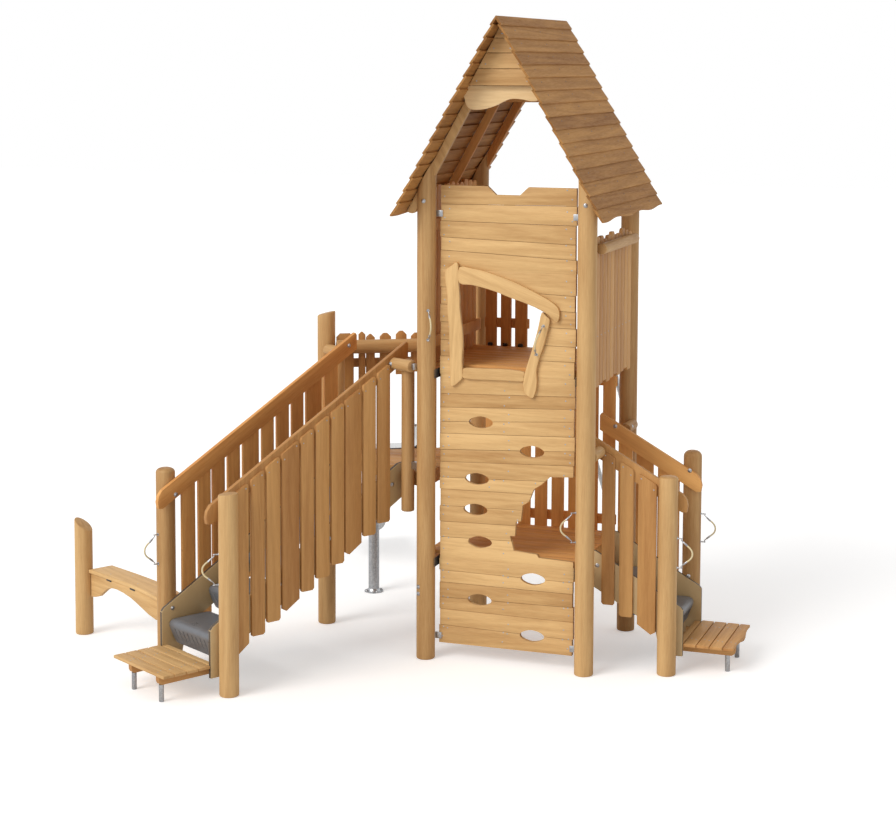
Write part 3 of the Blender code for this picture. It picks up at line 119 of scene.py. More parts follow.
forward = Vector((-sin(YAW) * cos(PITCH), cos(YAW) * cos(PITCH), -sin(PITCH)))
level = Vector((cos(YAW), sin(YAW), 0))
upright = level.cross(forward)
right = level * cos(ROLL) + upright * sin(ROLL)
above = upright * cos(ROLL) - level * sin(ROLL)
camera = into_scene("camera", bpy.data.cameras.new("camera"))
turn = Matrix((right, above, -forward)).transposed()
camera.matrix_world = Matrix.Translation(EYE) @ turn.to_4x4()
camera.data.sensor_width = SENSOR
camera.data.lens = FOCAL * SENSOR / IMAGE_W
camera.data.shift_x = (IMAGE_W / 2 - CENTRE_X) / IMAGE_W
camera.data.shift_y = (CENTRE_Y - IMAGE_H / 2) / IMAGE_W
camera.data.clip_end = 300.0
bpy.context.scene.camera = camera
bpy.context.scene.view_settings.view_transform = "Standard"
print("lens", round(camera.data.lens, 1), "mm, shift", round(camera.data.shift_y, 3))


# %% Helpers for node trees
def feed(tree, socket, value):
    """Links a socket to another one, or gives it a plain value."""
    if isinstance(value, bpy.types.NodeSocket):
        tree.links.new(value, socket)
    elif value is not None:
        socket.default_value = (*value, 1) if socket.type == "RGBA" else value


def node(tree, kind, *inputs, **settings):
    """Adds a node. Inputs come in order, or by name as in_NAME; the other settings are properties."""
    made = tree.nodes.new(kind)
    for name, value in settings.items():
        if not name.startswith("in_"):
            setattr(made, name, value)
    for socket, value in zip(made.inputs, inputs):
        feed(tree, socket, value)
    for name, value in settings.items():
        if name.startswith("in_"):
            feed(tree, made.inputs[name[3:]], value)
    return made


def calc(tree, operation, *values):
    return node(tree, "ShaderNodeMath", *values, operation=operation).outputs[0]


# %% World and sun
SOFT_LIGHT = 0.62
world = bpy.data.worlds.new("studio")
bpy.context.scene.world = world
world.use_nodes = True
tree = world.node_tree
tree.nodes.clear()
rays = node(tree, "ShaderNodeLightPath").outputs
seen = calc(tree, "MAXIMUM", rays["Is Camera Ray"], rays["Is Glossy Ray"])
seen = calc(tree, "MAXIMUM", seen, rays["Is Transmission Ray"])
soft = node(tree, "ShaderNodeBackground", (1.0, 0.99, 0.975), SOFT_LIGHT)
white = node(tree, "ShaderNodeBackground", (1, 1, 1))
mix = node(tree, "ShaderNodeMixShader", seen, soft.outputs[0], white.outputs[0])
node(tree, "ShaderNodeOutputWorld", mix.outputs[0])

TO_SUN = Vector((-0.42, -0.72, 0.56))
sun = into_scene("sun", bpy.data.lights.new("sun", "SUN"))
sun.rotation_euler = TO_SUN.to_track_quat("Z", "Y").to_euler()
sun.data.energy = 1.75
sun.data.angle = radians(35)
sun.data.color = (1.0, 0.98, 0.95)
print("soft light", SOFT_LIGHT, "sun", round(sun.data.energy, 2))


# %% Floor
def plain_shader(name):
    material = bpy.data.materials.new(name)
    material.use_nodes = True
    return material, material.node_tree, material.node_tree.nodes["Principled BSDF"]


FLOOR_HALF = 60.0
LIFT = 0.33                     # what a white floor lacks under this light, seen by the camera only
floor_mesh = bpy.data.meshes.new("studio_floor")
floor_mesh.from_pydata([(x * FLOOR_HALF, y * FLOOR_HALF, 0) for x, y in ((-1, -1), (1, -1), (1, 1), (-1, 1))],
                       [], [(0, 1, 2, 3)])
studio_floor = into_scene("studio_floor", floor_mesh)
floor_paint, tree, paint = plain_shader("floor_paint")
for label, value in (("Base Color", (0.90, 0.905, 0.915)), ("Roughness", 1.0), ("Specular IOR Level", 0.0)):
    feed(tree, paint.inputs[label], value)
seen = node(tree, "ShaderNodeLightPath").outputs["Is Camera Ray"]
glow = node(tree, "ShaderNodeEmission", (1, 1, 1), calc(tree, "MULTIPLY", seen, LIFT))
both = node(tree, "ShaderNodeAddShader", paint.outputs[0], glow.outputs[0])
feed(tree, tree.nodes["Material Output"].inputs["Surface"], both.outputs[0])
floor_mesh.materials.append(floor_paint)

# %% [markdown]
# ## Wood
# Wood looks right when its pattern follows the board. Each face carries two values of its own:
# "grain", the direction its fibres run, and "tone", a number that makes every board differ a
# little. The material squeezes space along the grain, so an ordinary noise is drawn out into
# fibres. A sine of a broad noise gives the arched figure, a few cells become knots, and faces
# that look along the grain are end grain and turn darker.


# %% Short names for the nodes used most
def vector_calc(tree, operation, *values, **named):
    made = node(tree, "ShaderNodeVectorMath", *values, operation=operation, **named)
    return made.outputs["Value" if operation == "DOT_PRODUCT" else "Vector"]


def remap(tree, value, *limits):
    """A value carried from one range to another, held inside it."""
    return node(tree, "ShaderNodeMapRange", value, *limits).outputs[0]


def speckle(tree, place, scale, detail, rough=0.5, distortion=0.0):
    return node(tree, "ShaderNodeTexNoise", place, in_Scale=scale, in_Detail=detail, in_Roughness=rough,
                in_Distortion=distortion).outputs["Fac"]


def blend(tree, share, first, second):
    """A colour between two others."""
    mix = node(tree, "ShaderNodeMix", share, data_type="RGBA")
    feed(tree, mix.inputs[6], first)
    feed(tree, mix.inputs[7], second)
    return mix.outputs[2]


def cells(tree, place, scale):
    """Cells that each have a colour of their own; also gives that colour's channels."""
    made = node(tree, "ShaderNodeTexVoronoi", place, in_Scale=scale, in_Randomness=1.0)
    return made, node(tree, "ShaderNodeSeparateColor", made.outputs["Color"]).outputs


def coat(tree, shader, colour, roughness, height=None, strength=0.0, distance=0.0):
    """Joins a colour, a roughness and a bump to the shader."""
    feed(tree, shader.inputs["Base Color"], colour)
    feed(tree, shader.inputs["Roughness"], roughness)
    if height is not None:
        bump = node(tree, "ShaderNodeBump", in_Strength=strength, in_Distance=distance, in_Height=height)
        feed(tree, shader.inputs["Normal"], bump.outputs[0])


# %% The wood material
SQUEEZE = 0.94                  # how much of the length along the grain is taken out
RING_LINES = 62.0
PALEST, DARKEST = 0.10, 0.72    # where boards lie between the light and the dark colour
RINGS, FIBRES, PATCHES = 0.22, 0.85, 0.75


def wood(name, light, dark, roughness, figure=4.0, contrast=1.0):
    material, tree, shader = plain_shader(name)
    place = node(tree, "ShaderNodeTexCoord").outputs["Object"]
    grain = node(tree, "ShaderNodeAttribute", attribute_name="grain").outputs["Vector"]
    tone = node(tree, "ShaderNodeAttribute", attribute_name="tone").outputs["Fac"]
    # squeeze space along the grain, and give every board a part of the noise to itself
    along = calc(tree, "MULTIPLY", vector_calc(tree, "DOT_PRODUCT", place, grain), SQUEEZE)
    across = vector_calc(tree, "SUBTRACT", place, vector_calc(tree, "SCALE", grain, in_Scale=along))
    own = vector_calc(tree, "ADD", across, vector_calc(tree, "SCALE", (17.3, 9.1, 5.7), in_Scale=tone))
    # contour lines of a broad noise, fine fibres, and patches that are drawn out less
    broad = speckle(tree, own, figure, 2.0, 0.45, 0.3)
    rings = remap(tree, calc(tree, "SINE", calc(tree, "MULTIPLY", broad, RING_LINES)), -1.0, 1.0)
    fibre = speckle(tree, own, 150.0, 5.0, 0.65)
    patch = speckle(tree, own, 22.0, 3.0)
    # a few cells become knots
    spots, channels = cells(tree, own, 5.0)
    near = remap(tree, spots.outputs["Distance"], 0.012, 0.055, 1.0, 0.0)
    knots = calc(tree, "MULTIPLY", calc(tree, "GREATER_THAN", channels[0], 0.86), near)
    # how dark: the board's own tone, then rings, fibres, patches and end grain
    middle = (RINGS + FIBRES + PATCHES) * contrast / 2
    total = remap(tree, tone, 0.0, 1.0, PALEST - middle, DARKEST - middle)
    for source, share in ((rings, RINGS), (fibre, FIBRES), (patch, PATCHES)):
        total = calc(tree, "MULTIPLY_ADD", source, share * contrast, total)
    normal = node(tree, "ShaderNodeNewGeometry").outputs["Normal"]
    end = calc(tree, "ABSOLUTE", vector_calc(tree, "DOT_PRODUCT", normal, grain))
    darkness = node(tree, "ShaderNodeMath", total, remap(tree, end, 0.6, 0.95, 0.0, 0.28), operation="ADD",
                    use_clamp=True).outputs[0]
    knot = (dark[0] * 0.55, dark[1] * 0.42, dark[2] * 0.35)
    colour = blend(tree, knots, blend(tree, darkness, light, dark), knot)
    coat(tree, shader, colour, remap(tree, fibre, 0.3, 0.7, roughness - 0.08, roughness + 0.10), fibre, 0.35, 0.0012)
    shader.inputs["Specular IOR Level"].default_value = 0.25
    return material


LOG_WOOD = wood("log_wood", (0.66, 0.42, 0.185), (0.36, 0.175, 0.058), 0.50, 3.2, 0.9)
WALL_WOOD = wood("wall_wood", (0.76, 0.495, 0.222), (0.44, 0.235, 0.085), 0.52, 4.2)
ROOF_WOOD = wood("roof_wood", (0.52, 0.265, 0.083), (0.255, 0.108, 0.028), 0.68, 4.0, 1.2)
PALE_WOOD = wood("pale_wood", (0.84, 0.60, 0.32), (0.52, 0.31, 0.13), 0.52)
RAIL_WOOD = wood("rail_wood", (0.59, 0.320, 0.113), (0.37, 0.165, 0.052), 0.55, 4.4)
BOARD_WOOD = wood("board_wood", (0.66, 0.37, 0.140), (0.40, 0.180, 0.056), 0.56)
# a brighter, more orange copy of the same wood for surfaces in shade inside the tower and on its far side: painted
# warm bounce light
BOUNCE_LIT_WOOD = wood("bounce_lit_wood", (0.86, 0.46, 0.155), (0.56, 0.235, 0.066), 0.58)
print("wood materials made")

# %% [markdown]
# ## Plastic, steel and rope
# The stringers are sheets of tan plastic with a fine orange peel, the treads are moulded in dark
# grey with a coarser skin. Galvanised steel is never even: zinc freezes in flat crystals, which
# cells of slightly different grey and roughness imitate.


# %% The other materials
def moulded(name, colour, worn, roughness, peel, depth):
    """Plastic with a fine skin and slightly paler, duller patches where it is handled."""
    material, tree, shader = plain_shader(name)
    place = node(tree, "ShaderNodeTexCoord").outputs["Object"]
    wear = speckle(tree, place, 7.0, 6.0, 0.7)
    mixed = blend(tree, remap(tree, wear, 0.45, 0.75, 0.0, 0.8), colour, worn)
    gloss = remap(tree, wear, 0.3, 0.7, roughness - 0.06, roughness + 0.08)
    coat(tree, shader, mixed, gloss, speckle(tree, place, peel, 2.0), 0.5, depth)
    return material


def zinc(name, pale, deep, roughness, crystals, spread=0.085):
    """Galvanised or brushed steel: cells of different grey."""
    material, tree, shader = plain_shader(name)
    channels = cells(tree, node(tree, "ShaderNodeTexCoord").outputs["Object"], crystals)[1]
    gloss = remap(tree, channels[1], 0.0, 1.0, roughness - spread, roughness + spread)
    coat(tree, shader, blend(tree, channels[0], pale, deep), gloss)
    shader.inputs["Metallic"].default_value = 1.0
    return material


PANEL = moulded("tan_sheet", (0.52, 0.365, 0.180), (0.57, 0.41, 0.21), 0.48, 260.0, 0.0005)
TREAD = moulded("tread_plastic", (0.150, 0.158, 0.176), (0.215, 0.224, 0.243), 0.31, 180.0, 0.0008)
DARK = moulded("dark_plastic", (0.028, 0.030, 0.034), (0.05, 0.052, 0.056), 0.45, 240.0, 0.0005)
ZINC = zinc("galvanised", (0.54, 0.55, 0.565), (0.38, 0.39, 0.41), 0.38, 90.0)
STAINLESS = zinc("stainless", (0.66, 0.66, 0.65), (0.62, 0.62, 0.62), 0.27, 30.0, spread=0.015)
SCREW_STEEL = zinc("screw_steel", (0.50, 0.51, 0.52), (0.36, 0.37, 0.39), 0.40, 70.0)
ROOF_SCREW = zinc("roof_screw_steel", (0.30, 0.29, 0.28), (0.20, 0.19, 0.18), 0.55, 70.0)
CORE = moulded("sheet_core", (0.085, 0.062, 0.042), (0.11, 0.085, 0.06), 0.55, 260.0, 0.0004)
ROPE = moulded("rope_fibre", (0.74, 0.64, 0.40), (0.60, 0.50, 0.30), 0.80, 900.0, 0.0012)
print("materials so far", len(bpy.data.materials))

# %% [markdown]
# ## Boards with rounded edges
# Sawn boards have their edges eased before they go on a playground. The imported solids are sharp,
# so each wooden node is copied, its flat faces are put back together, and every sharp edge gets a
# small round. While the faces are still whole boards, each one is given its tone and its grain.


# %% Working meshes
MERGE = 0.00003
SMOOTH_BELOW = 38               # degrees; a sharper edge stays an edge
EASED_ABOVE = 30                # degrees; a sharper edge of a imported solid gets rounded


def unit(number):
    """A steady number from 0 to 1 for a board's place."""
    return random.Random(int(number * 1000)).random()


def to_mesh(work, name):
    """Writes a working mesh out and lets it go."""
    mesh = bpy.data.meshes.new(name)
    work.to_mesh(mesh)
    work.free()
    return mesh


def result_mesh(thing, *helpers):
    """The mesh that an object's modifiers make of it; the object and its helpers are removed."""
    bpy.context.view_layer.update()
    graph = bpy.context.evaluated_depsgraph_get()
    mesh = bpy.data.meshes.new_from_object(thing.evaluated_get(graph))
    for used in (thing, *helpers):
        bpy.data.objects.remove(used, do_unlink=True)
    return mesh


def outward(work):
    bmesh.ops.recalc_face_normals(work, faces=work.faces)


def bevel(work, width, limit, segments):
    sharp = [edge for edge in work.edges if edge.is_manifold and edge.calc_face_angle() > radians(limit)]
    bmesh.ops.bevel(work, geom=sharp, offset=width, segments=segments, profile=0.5, affect="EDGES",
                    clamp_overlap=True)


def marks(work):
    """The layers that hold every face's tone and grain."""
    layers = work.faces.layers
    return (layers.float.get("tone") or layers.float.new("tone"),
            layers.float_vector.get("grain") or layers.float_vector.new("grain"))


def merged(name, cutters=()):
    """A CAD node's mesh, with holes cut through it, and its loose triangles joined into whole faces."""
    work = bmesh.new()
    work.from_mesh(frame["nodes"][name].data)
    bmesh.ops.remove_doubles(work, verts=work.verts, dist=MERGE)
    if cutters:
        blank = into_scene("carving", to_mesh(work, "carving"))
        for cutter in cutters:
            modifier = blank.modifiers.new("hole", "BOOLEAN")
            modifier.operation = "DIFFERENCE"
            modifier.solver = "EXACT"
            modifier.object = cutter
        work = bmesh.new()
        work.from_mesh(result_mesh(blank, *cutters))
    bmesh.ops.dissolve_limit(work, angle_limit=radians(1.0), verts=work.verts, edges=work.edges)
    work.normal_update()
    return work


# %% From a working mesh to a piece
def finish_piece(work, name, materials, body="tower", slot="plank", replaced=()):
    """Turns the working mesh into a piece that rides on a body."""
    mesh = to_mesh(work, name)
    for material in materials:
        mesh.materials.append(material)
    mesh.shade_smooth()
    mesh.set_sharp_from_angle(angle=radians(SMOOTH_BELOW))
    piece = into_scene(name, mesh)
    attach(piece, body)
    if replaced:
        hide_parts(*replaced)
    return piece


def seat_marks(work, out, across, grain, big):
    """Tone and grain for every face; returns the big faces that look along out."""
    tone, run = marks(work)
    fronts = [face for face in work.faces if abs(face.normal.dot(out)) > 0.9 and face.calc_area() > big]
    rows = sorted({round(face.calc_center_median().dot(across), 2) for face in fronts}) or [0.0]
    for face in work.faces:
        here = face.calc_center_median()
        row = min(rows, key=lambda value: abs(value - here.dot(across)))
        face[tone] = unit(row + 3.0)
        face[run] = grain(here) if callable(grain) else grain
    return [face for face in fronts if face.normal.dot(out) > 0.9]


def eased(name, material, out, across, grain, big=0.02, width=0.003, second=None, second_where=None,
          slot="plank", cuts=()):
    """The usual way to dress a wooden node. A second material goes to faces that second_where picks."""
    work = merged(name, cuts)
    fronts = seat_marks(work, out, across, grain, big)
    boards = [(face.calc_center_median().copy(), [v.co.copy() for v in face.verts]) for face in fronts]
    if second:
        for face in work.faces:
            if second_where(face):
                face.material_index = 1
    bevel(work, width, EASED_ABOVE, 2)
    finish_piece(work, name + "_boards", [material, second] if second else [material], slot=slot, replaced=[name])
    return boards


# %% [markdown]
# ## Smooth outlines
# Curved boards and hand holes come from a few points that a spline rounds off. A closed
# Catmull-Rom spline passes through every point it is given, so the piece keeps its size.


# %% Outlines and cut boards
def between(a, b, c, d, t):
    """A Catmull-Rom spline from b to c."""
    return 0.5 * ((2 * b) + (c - a) * t + (2 * a - 5 * b + 4 * c - d) * t * t + (3 * b - a - 3 * c + d) * t ** 3)


def rounded(points, steps):
    """A closed curve through points."""
    count = len(points)
    return [between(*(Vector(points[(i + k) % count]) for k in (-1, 0, 1, 2)), s / steps)
            for i in range(count) for s in range(steps)]


def loft(work, rings, ends=True):
    """Joins rings of vertices with faces and closes the two ends."""
    made = []
    for lower, upper in zip(rings, rings[1:]):
        for k in range(len(lower)):
            j = (k + 1) % len(lower)
            made.append(work.faces.new((lower[k], lower[j], upper[j], upper[k])))
    if ends:
        made += [work.faces.new(rings[0][::-1]), work.faces.new(rings[-1])]
    return made


def mark(work, faces, tone, grain):
    tone_layer, grain_layer = marks(work)
    for face in faces:
        face[tone_layer] = tone
        face[grain_layer] = grain


def add_board(work, u, v, outline, low, high, grain, tone, origin=ORIGIN):
    """A board cut to an outline in the plane of u and v, between two distances along their normal."""
    marks(work)
    w = u.cross(v)
    rings = [[work.verts.new(origin + u * a + v * b + w * c) for a, b in outline] for c in (low, high)]
    mark(work, loft(work, rings), tone, grain)


def boards_piece(name, material, boards, width, limit=40, **kind):
    """A piece made of boards with rounded edges, each given the way add_board takes it."""
    work = bmesh.new()
    for board in boards:
        add_board(work, *board)
    work.normal_update()
    outward(work)
    bevel(work, width, limit, 3)
    finish_piece(work, name, [material], **kind)


# %% [markdown]
# ## Screws and bolts
# Hundreds of small heads hold the boards. One head is modelled once, and a Geometry Nodes tree
# sets a copy on every point of a cloud, turned the way that point's "facing" says. The tree takes
# the head, the size and the material as named inputs and ends in real geometry.


# %% The tree that sets heads on points
def geometry_tree(name, result, **inputs):
    """A geometry tree with named inputs; also gives their identifiers and their sockets inside."""
    tree = bpy.data.node_groups.new(name, "GeometryNodeTree")
    sockets = {}
    for label, kind in inputs.items():
        made = tree.interface.new_socket(name=label, in_out="INPUT", socket_type="NodeSocket" + kind)
        sockets[label] = made.identifier
    tree.interface.new_socket(name=result, in_out="OUTPUT", socket_type="NodeSocketGeometry")
    return tree, sockets, node(tree, "NodeGroupInput").outputs


def paint_and_close(tree, geometry, material):
    painted = node(tree, "GeometryNodeSetMaterial", geometry, in_Material=material)
    node(tree, "NodeGroupOutput", painted.outputs[0])


def run_tree(thing, tree, sockets, **values):
    """Runs a tree on an object with these inputs and returns the mesh it makes."""
    modifier = thing.modifiers.new("tree", "NODES")
    modifier.node_group = tree
    for label, value in values.items():
        modifier[sockets[label]] = value
    return result_mesh(thing)


def heads_tree():
    tree, sockets, given = geometry_tree("heads_on_points", "Heads", Points="Geometry", Head="Object",
                                         Size="Float", Seed="Int", Finish="Material")
    head = node(tree, "GeometryNodeObjectInfo", in_Object=given["Head"], transform_space="ORIGINAL")
    facing = node(tree, "GeometryNodeInputNamedAttribute", in_Name="facing", data_type="FLOAT_VECTOR")
    aim = node(tree, "FunctionNodeAlignRotationToVector", in_Vector=facing.outputs["Attribute"], axis="Z")
    spin = node(tree, "FunctionNodeRandomValue", in_Seed=given["Seed"], data_type="FLOAT")
    spin.inputs[3].default_value = 2 * pi
    angle = node(tree, "ShaderNodeCombineXYZ", in_Z=spin.outputs[1])
    turned = node(tree, "FunctionNodeEulerToRotation", angle.outputs[0])
    both = node(tree, "FunctionNodeRotateRotation", aim.outputs[0], turned.outputs[0], rotation_space="LOCAL")
    copies = node(tree, "GeometryNodeInstanceOnPoints", in_Points=given["Points"],
                  in_Instance=head.outputs["Geometry"], in_Rotation=both.outputs[0], in_Scale=given["Size"])
    real = node(tree, "GeometryNodeRealizeInstances", copies.outputs[0])
    paint_and_close(tree, real.outputs[0], given["Finish"])
    return tree, sockets


HEADS = heads_tree()


# %% Heads of screws and bolts
def turned_head(name, profile, sides):
    """A head turned from (radius, height) points."""
    work = bmesh.new()
    angles = [2 * pi * k / sides for k in range(sides)]
    loft(work, [[work.verts.new((radius * cos(angle), radius * sin(angle), height)) for angle in angles]
                for radius, height in profile])
    outward(work)
    mesh = to_mesh(work, name)
    mesh.shade_smooth()
    mesh.set_sharp_from_angle(angle=radians(40))
    return bpy.data.objects.new(name, mesh)


SCREW_HEAD = turned_head("screw_head", [(0.0062, -0.002), (0.0062, 0.0004), (0.0050, 0.0012), (0.0026, 0.0013),
                                        (0.0020, 0.0002)], 12)
BOLT_HEAD = turned_head("bolt_head", [(0.017, -0.003), (0.017, 0.002), (0.0155, 0.0035), (0.0125, 0.0040),
                                      (0.0120, 0.0085), (0.0095, 0.0110), (0.0050, 0.0118)], 18)


def set_heads(name, points, head, finish, size=1.0):
    """Sets a head on every (place, facing) pair and keeps the result as one plain mesh."""
    cloud = bpy.data.meshes.new(name + "_points")
    cloud.from_pydata([place for place, facing in points], [], [])
    store = cloud.attributes.new("facing", "FLOAT_VECTOR", "POINT")
    for i, (place, facing) in enumerate(points):
        store.data[i].vector = facing
    mesh = run_tree(into_scene(name + "_points", cloud), *HEADS, Head=head, Size=size, Seed=3, Finish=finish)
    mesh.name = name
    piece = into_scene(name, mesh)
    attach(piece, "tower")
    print(name, len(points), "heads,", len(mesh.polygons), "faces")


screws, roof_screws, bolts = [], [], []
print("heads ready:", SCREW_HEAD.name, BOLT_HEAD.name)

# %% [markdown]
# ## The climbing wall
# The planks, none quite level, are screwed to battens. Its hand holes are leaf shaped with
# smooth edges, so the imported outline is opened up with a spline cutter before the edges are
# rounded. Small steel plates past the planks' ends hold the wall to the posts.

# %% A leaf shaped hole
WALL_Y = 0.040
WALL_IN = POST_R + 0.028        # end of the planks from the post's axis
HOLDS = {"climbing_wall_middle": [(0.439, 1.913), (0.858, 1.708), (0.409, 1.462), (0.398, 1.217), (0.437, 0.961)],
         "climbing_wall_foot": [(0.873, 0.703), (0.435, 0.497), (0.868, 0.250)]}


def leaf_cutter(x, z):
    """A leaf lying on its side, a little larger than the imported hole, as a cutting body."""
    half, bow, sides = 0.0995, 0.0475, 24
    angles = [2 * pi * t / sides for t in range(sides)]
    outline = [(half * cos(t), bow * sin(t) * (1 - 0.12 * abs(cos(t)))) for t in angles]
    work = bmesh.new()
    add_board(work, X, Z, outline, -0.30, 0.10, X, 0.0, spot(x, 0, z))
    outward(work)
    return into_scene("leaf_cutter", to_mesh(work, "leaf_cutter"))


# %% Wall planks
SLANT = 0.020                   # how far a pair of screws is set apart sideways
HEAD_REACH = 0.007


def is_plate(face):
    return abs(face.calc_center_median().x - RIDGE.x) > TOWER / 2 - WALL_IN + 0.0055


def wall_screws(boards, wall):
    """Pairs of screws near both ends of a plank and in the middle of low ones, where there is wood."""
    front = ORIGIN.y + WALL_Y
    for middle, corners in boards:
        xs, zs = [c.x for c in corners], [c.z for c in corners]
        left, right = min(xs), max(xs)
        if right - left < 0.12:
            continue
        spread = (max(zs) - min(zs)) * 0.24
        pairs = [(left + 0.050, 1), (right - 0.055, -1)]
        if right - left > 0.8 and middle.z < 2.4:
            pairs.append(((left + right) / 2, 1))
        for at, lean in pairs:
            for x, lift in ((at + SLANT * lean, spread), (at - SLANT * lean, -spread)):
                probes = [Vector((x + side, front - 0.02, middle.z + lift)) for side in (-HEAD_REACH, HEAD_REACH)]
                if all(wall.ray_cast(probe, Y, 0.03)[0] is not None for probe in probes):
                    screws.append((Vector((x, front, middle.z + lift)), -Y))


for name in ("climbing_wall_top", "climbing_wall_window", "climbing_wall_middle", "climbing_wall_foot"):
    holes = [leaf_cutter(x, z) for x, z in HOLDS.get(name, [])]
    boards = eased(name, WALL_WOOD, -Y, Z, X, big=0.008, width=0.0028, second=SCREW_STEEL, second_where=is_plate,
                   cuts=holes)
    wall_screws(boards, BVHTree.FromObject(bpy.data.objects[name + "_boards"],
                                           bpy.context.evaluated_depsgraph_get()))
print("wall screws", len(screws))

# %% [markdown]
# ## The window frame
# Four boards sawn on a curve frame the window, like branches nailed up by hand. They are drawn
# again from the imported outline's points with a spline, so the saw cut is smooth.

# %% Window boards
FRAME_LOW = -WALL_Y + GAP
FRAME_HIGH = FRAME_LOW + 0.030
left_board = [(0.150, 3.094), (0.205, 3.140), (0.240, 3.164), (0.257, 3.135), (0.261, 3.003), (0.270, 2.900),
              (0.272, 2.794), (0.292, 2.650), (0.299, 2.526), (0.290, 2.400), (0.297, 2.270), (0.255, 2.218),
              (0.222, 2.192), (0.198, 2.200), (0.192, 2.300), (0.190, 2.411), (0.183, 2.530), (0.181, 2.655),
              (0.168, 2.780), (0.168, 2.900), (0.150, 3.010)]
top_board = [(0.265, 3.125), (0.370, 3.120), (0.486, 3.099), (0.684, 3.038), (0.800, 2.992), (0.894, 2.949),
             (1.000, 2.895), (1.064, 2.846), (1.079, 2.787), (1.059, 2.730), (1.000, 2.776), (0.936, 2.816),
             (0.820, 2.862), (0.685, 2.904), (0.570, 2.944), (0.458, 2.974), (0.360, 2.992), (0.265, 3.003)]
right_board = [(0.936, 2.803), (0.970, 2.777), (1.000, 2.752), (0.996, 2.705), (0.984, 2.656), (0.958, 2.555),
               (0.923, 2.453), (0.908, 2.400), (0.898, 2.345), (0.902, 2.270), (0.895, 2.197), (0.866, 2.131),
               (0.808, 2.167), (0.792, 2.218), (0.796, 2.280), (0.808, 2.339), (0.836, 2.430), (0.870, 2.543),
               (0.892, 2.620), (0.910, 2.692)]
sill_board = [(0.303, 2.334), (0.360, 2.342), (0.491, 2.344), (0.600, 2.347), (0.688, 2.345), (0.760, 2.340),
              (0.803, 2.328), (0.797, 2.300), (0.790, 2.260), (0.720, 2.256), (0.548, 2.255), (0.420, 2.252),
              (0.301, 2.258), (0.299, 2.300)]
for name, points, tone, grain, replaced in (
        ("window_left_upright", left_board, 0.15, Z, "window_board_left"),
        ("window_lintel", top_board, 0.35, Vector((0.93, 0, -0.36)), "window_board_top"),
        ("window_right_upright", right_board, 0.25, Vector((0.25, 0, 0.97)), "window_board_right"),
        ("window_bottom_board", sill_board, 0.45, X, "window_sill")):
    boards_piece(name, WALL_WOOD, [(X, Z, rounded(points, 3), FRAME_LOW, FRAME_HIGH, grain, tone)], 0.006,
                 replaced=[replaced])
    print(name, "from", len(points), "points")

# %% [markdown]
# ## Logs
# A peeled log is nearly a cylinder, but its thickness wanders by a few millimetres and it leans a
# little. Each is lofted from many rings, with a noise that changes slowly along the trunk. Under
# the roof the top follows the slope; elsewhere it is sawn on a slant or turned to a dome.

# %% The log maker
LOG_SIDES = 40
WANDER, RIPPLE = 0.030, 0.008   # how much thinner a log gets here and there


def add_log(work, foot, direction, length, radius, seed, dome=0.0, lean=None, fade=0.20):
    """Adds a log. lean tilts its last face, as a height per metre, over a length of fade."""
    side = (Z if abs(direction.z) < 0.9 else X).cross(direction).normalized()
    other = direction.cross(side)
    marks(work)
    edge = min(0.010, radius * 0.2)
    count = max(3, int(length / 0.07))
    stop = length - max(dome, edge)
    stations = [(0.0, radius - edge), (edge * 0.3, radius - edge * 0.3), (edge, radius)]
    stations += [(edge + (stop - edge) * i / count, radius) for i in range(1, count + 1)]
    if dome:
        stations += [(length - dome + dome * sin(radians(up)), radius * (0.30 + 0.70 * cos(radians(up))))
                     for up in (18, 36, 54, 70, 82)]
    else:
        stations += [(length - edge * 0.3, radius - edge * 0.3), (length, radius - edge)]
    rings = []
    for distance, reach in stations:
        near_top = max(0.0, 1.0 - (length - distance) / fade)
        ring = []
        for k in range(LOG_SIDES):
            angle = 2 * pi * k / LOG_SIDES
            out = side * cos(angle) + other * sin(angle)
            wander = noise.noise(out * 0.9 + direction * distance * 1.1 + Vector((seed * 7.1, seed, 0)))
            ripple = noise.noise(out * 2.5 + direction * distance * 5.0 + Vector((seed, seed * 3.3, 0)))
            size = reach * (1.0 - WANDER * (0.5 + 0.5 * wander) - RIPPLE * ripple)
            rise = lean.dot(out) * size * near_top if lean else 0.0
            ring.append(work.verts.new(foot + direction * (distance + rise) + out * size))
        rings.append(ring)
    mark(work, loft(work, rings), unit(seed * 0.37), direction)


def log_piece(name, replaced, *logs):
    """One piece from one or more logs: foot, direction, length, radius, seed, and how the end is cut."""
    work = bmesh.new()
    for *shape, end in logs:
        add_log(work, *shape, **end)
    finish_piece(work, name, [LOG_WOOD], slot="log", replaced=[replaced])


# %% Posts under the roof
def under_roof(x):
    """Height under the rafters' top face, at a distance along the front."""
    return RIDGE.z - abs(x - TOWER / 2) * ROOF_SLOPE - 0.0323 / cos(ROOF_ANGLE)


RAIL_FACE = 0.2984              # outer face of a stair's rail from the line of the posts
STUB_REACH = 0.2747 - 0.03
STUB_R = 0.045
STUB_X = TOWER + 0.040
POST_TOP = under_roof(0.0) - 0.002
left_cut = {"lean": X * ROOF_SLOPE, "fade": 0.30}
right_cut = {"lean": X * -ROOF_SLOPE, "fade": 0.30}
log_piece("log_front_left", "post_front_left", (spot(0, 0, 0), Z, POST_TOP, POST_R, 1.3, left_cut))
log_piece("log_front_right", "post_front_right", (spot(TOWER, 0, 0), Z, POST_TOP, POST_R, 2.9, right_cut),
          (spot(STUB_X, 0.03, 1.700), Y, STUB_REACH, STUB_R, 4.4, {}))
log_piece("log_back_right", "post_back_right", (spot(TOWER, TOWER, 0), Z, POST_TOP, POST_R, 5.2, right_cut),
          (spot(STUB_X + 0.010, TOWER - 0.03, 1.745), -Y, STUB_REACH, STUB_R, 6.1, {}))
log_piece("log_back_left", "post_back_left", (spot(0, TOWER, 0), Z, POST_TOP, POST_R, 7.7, left_cut))
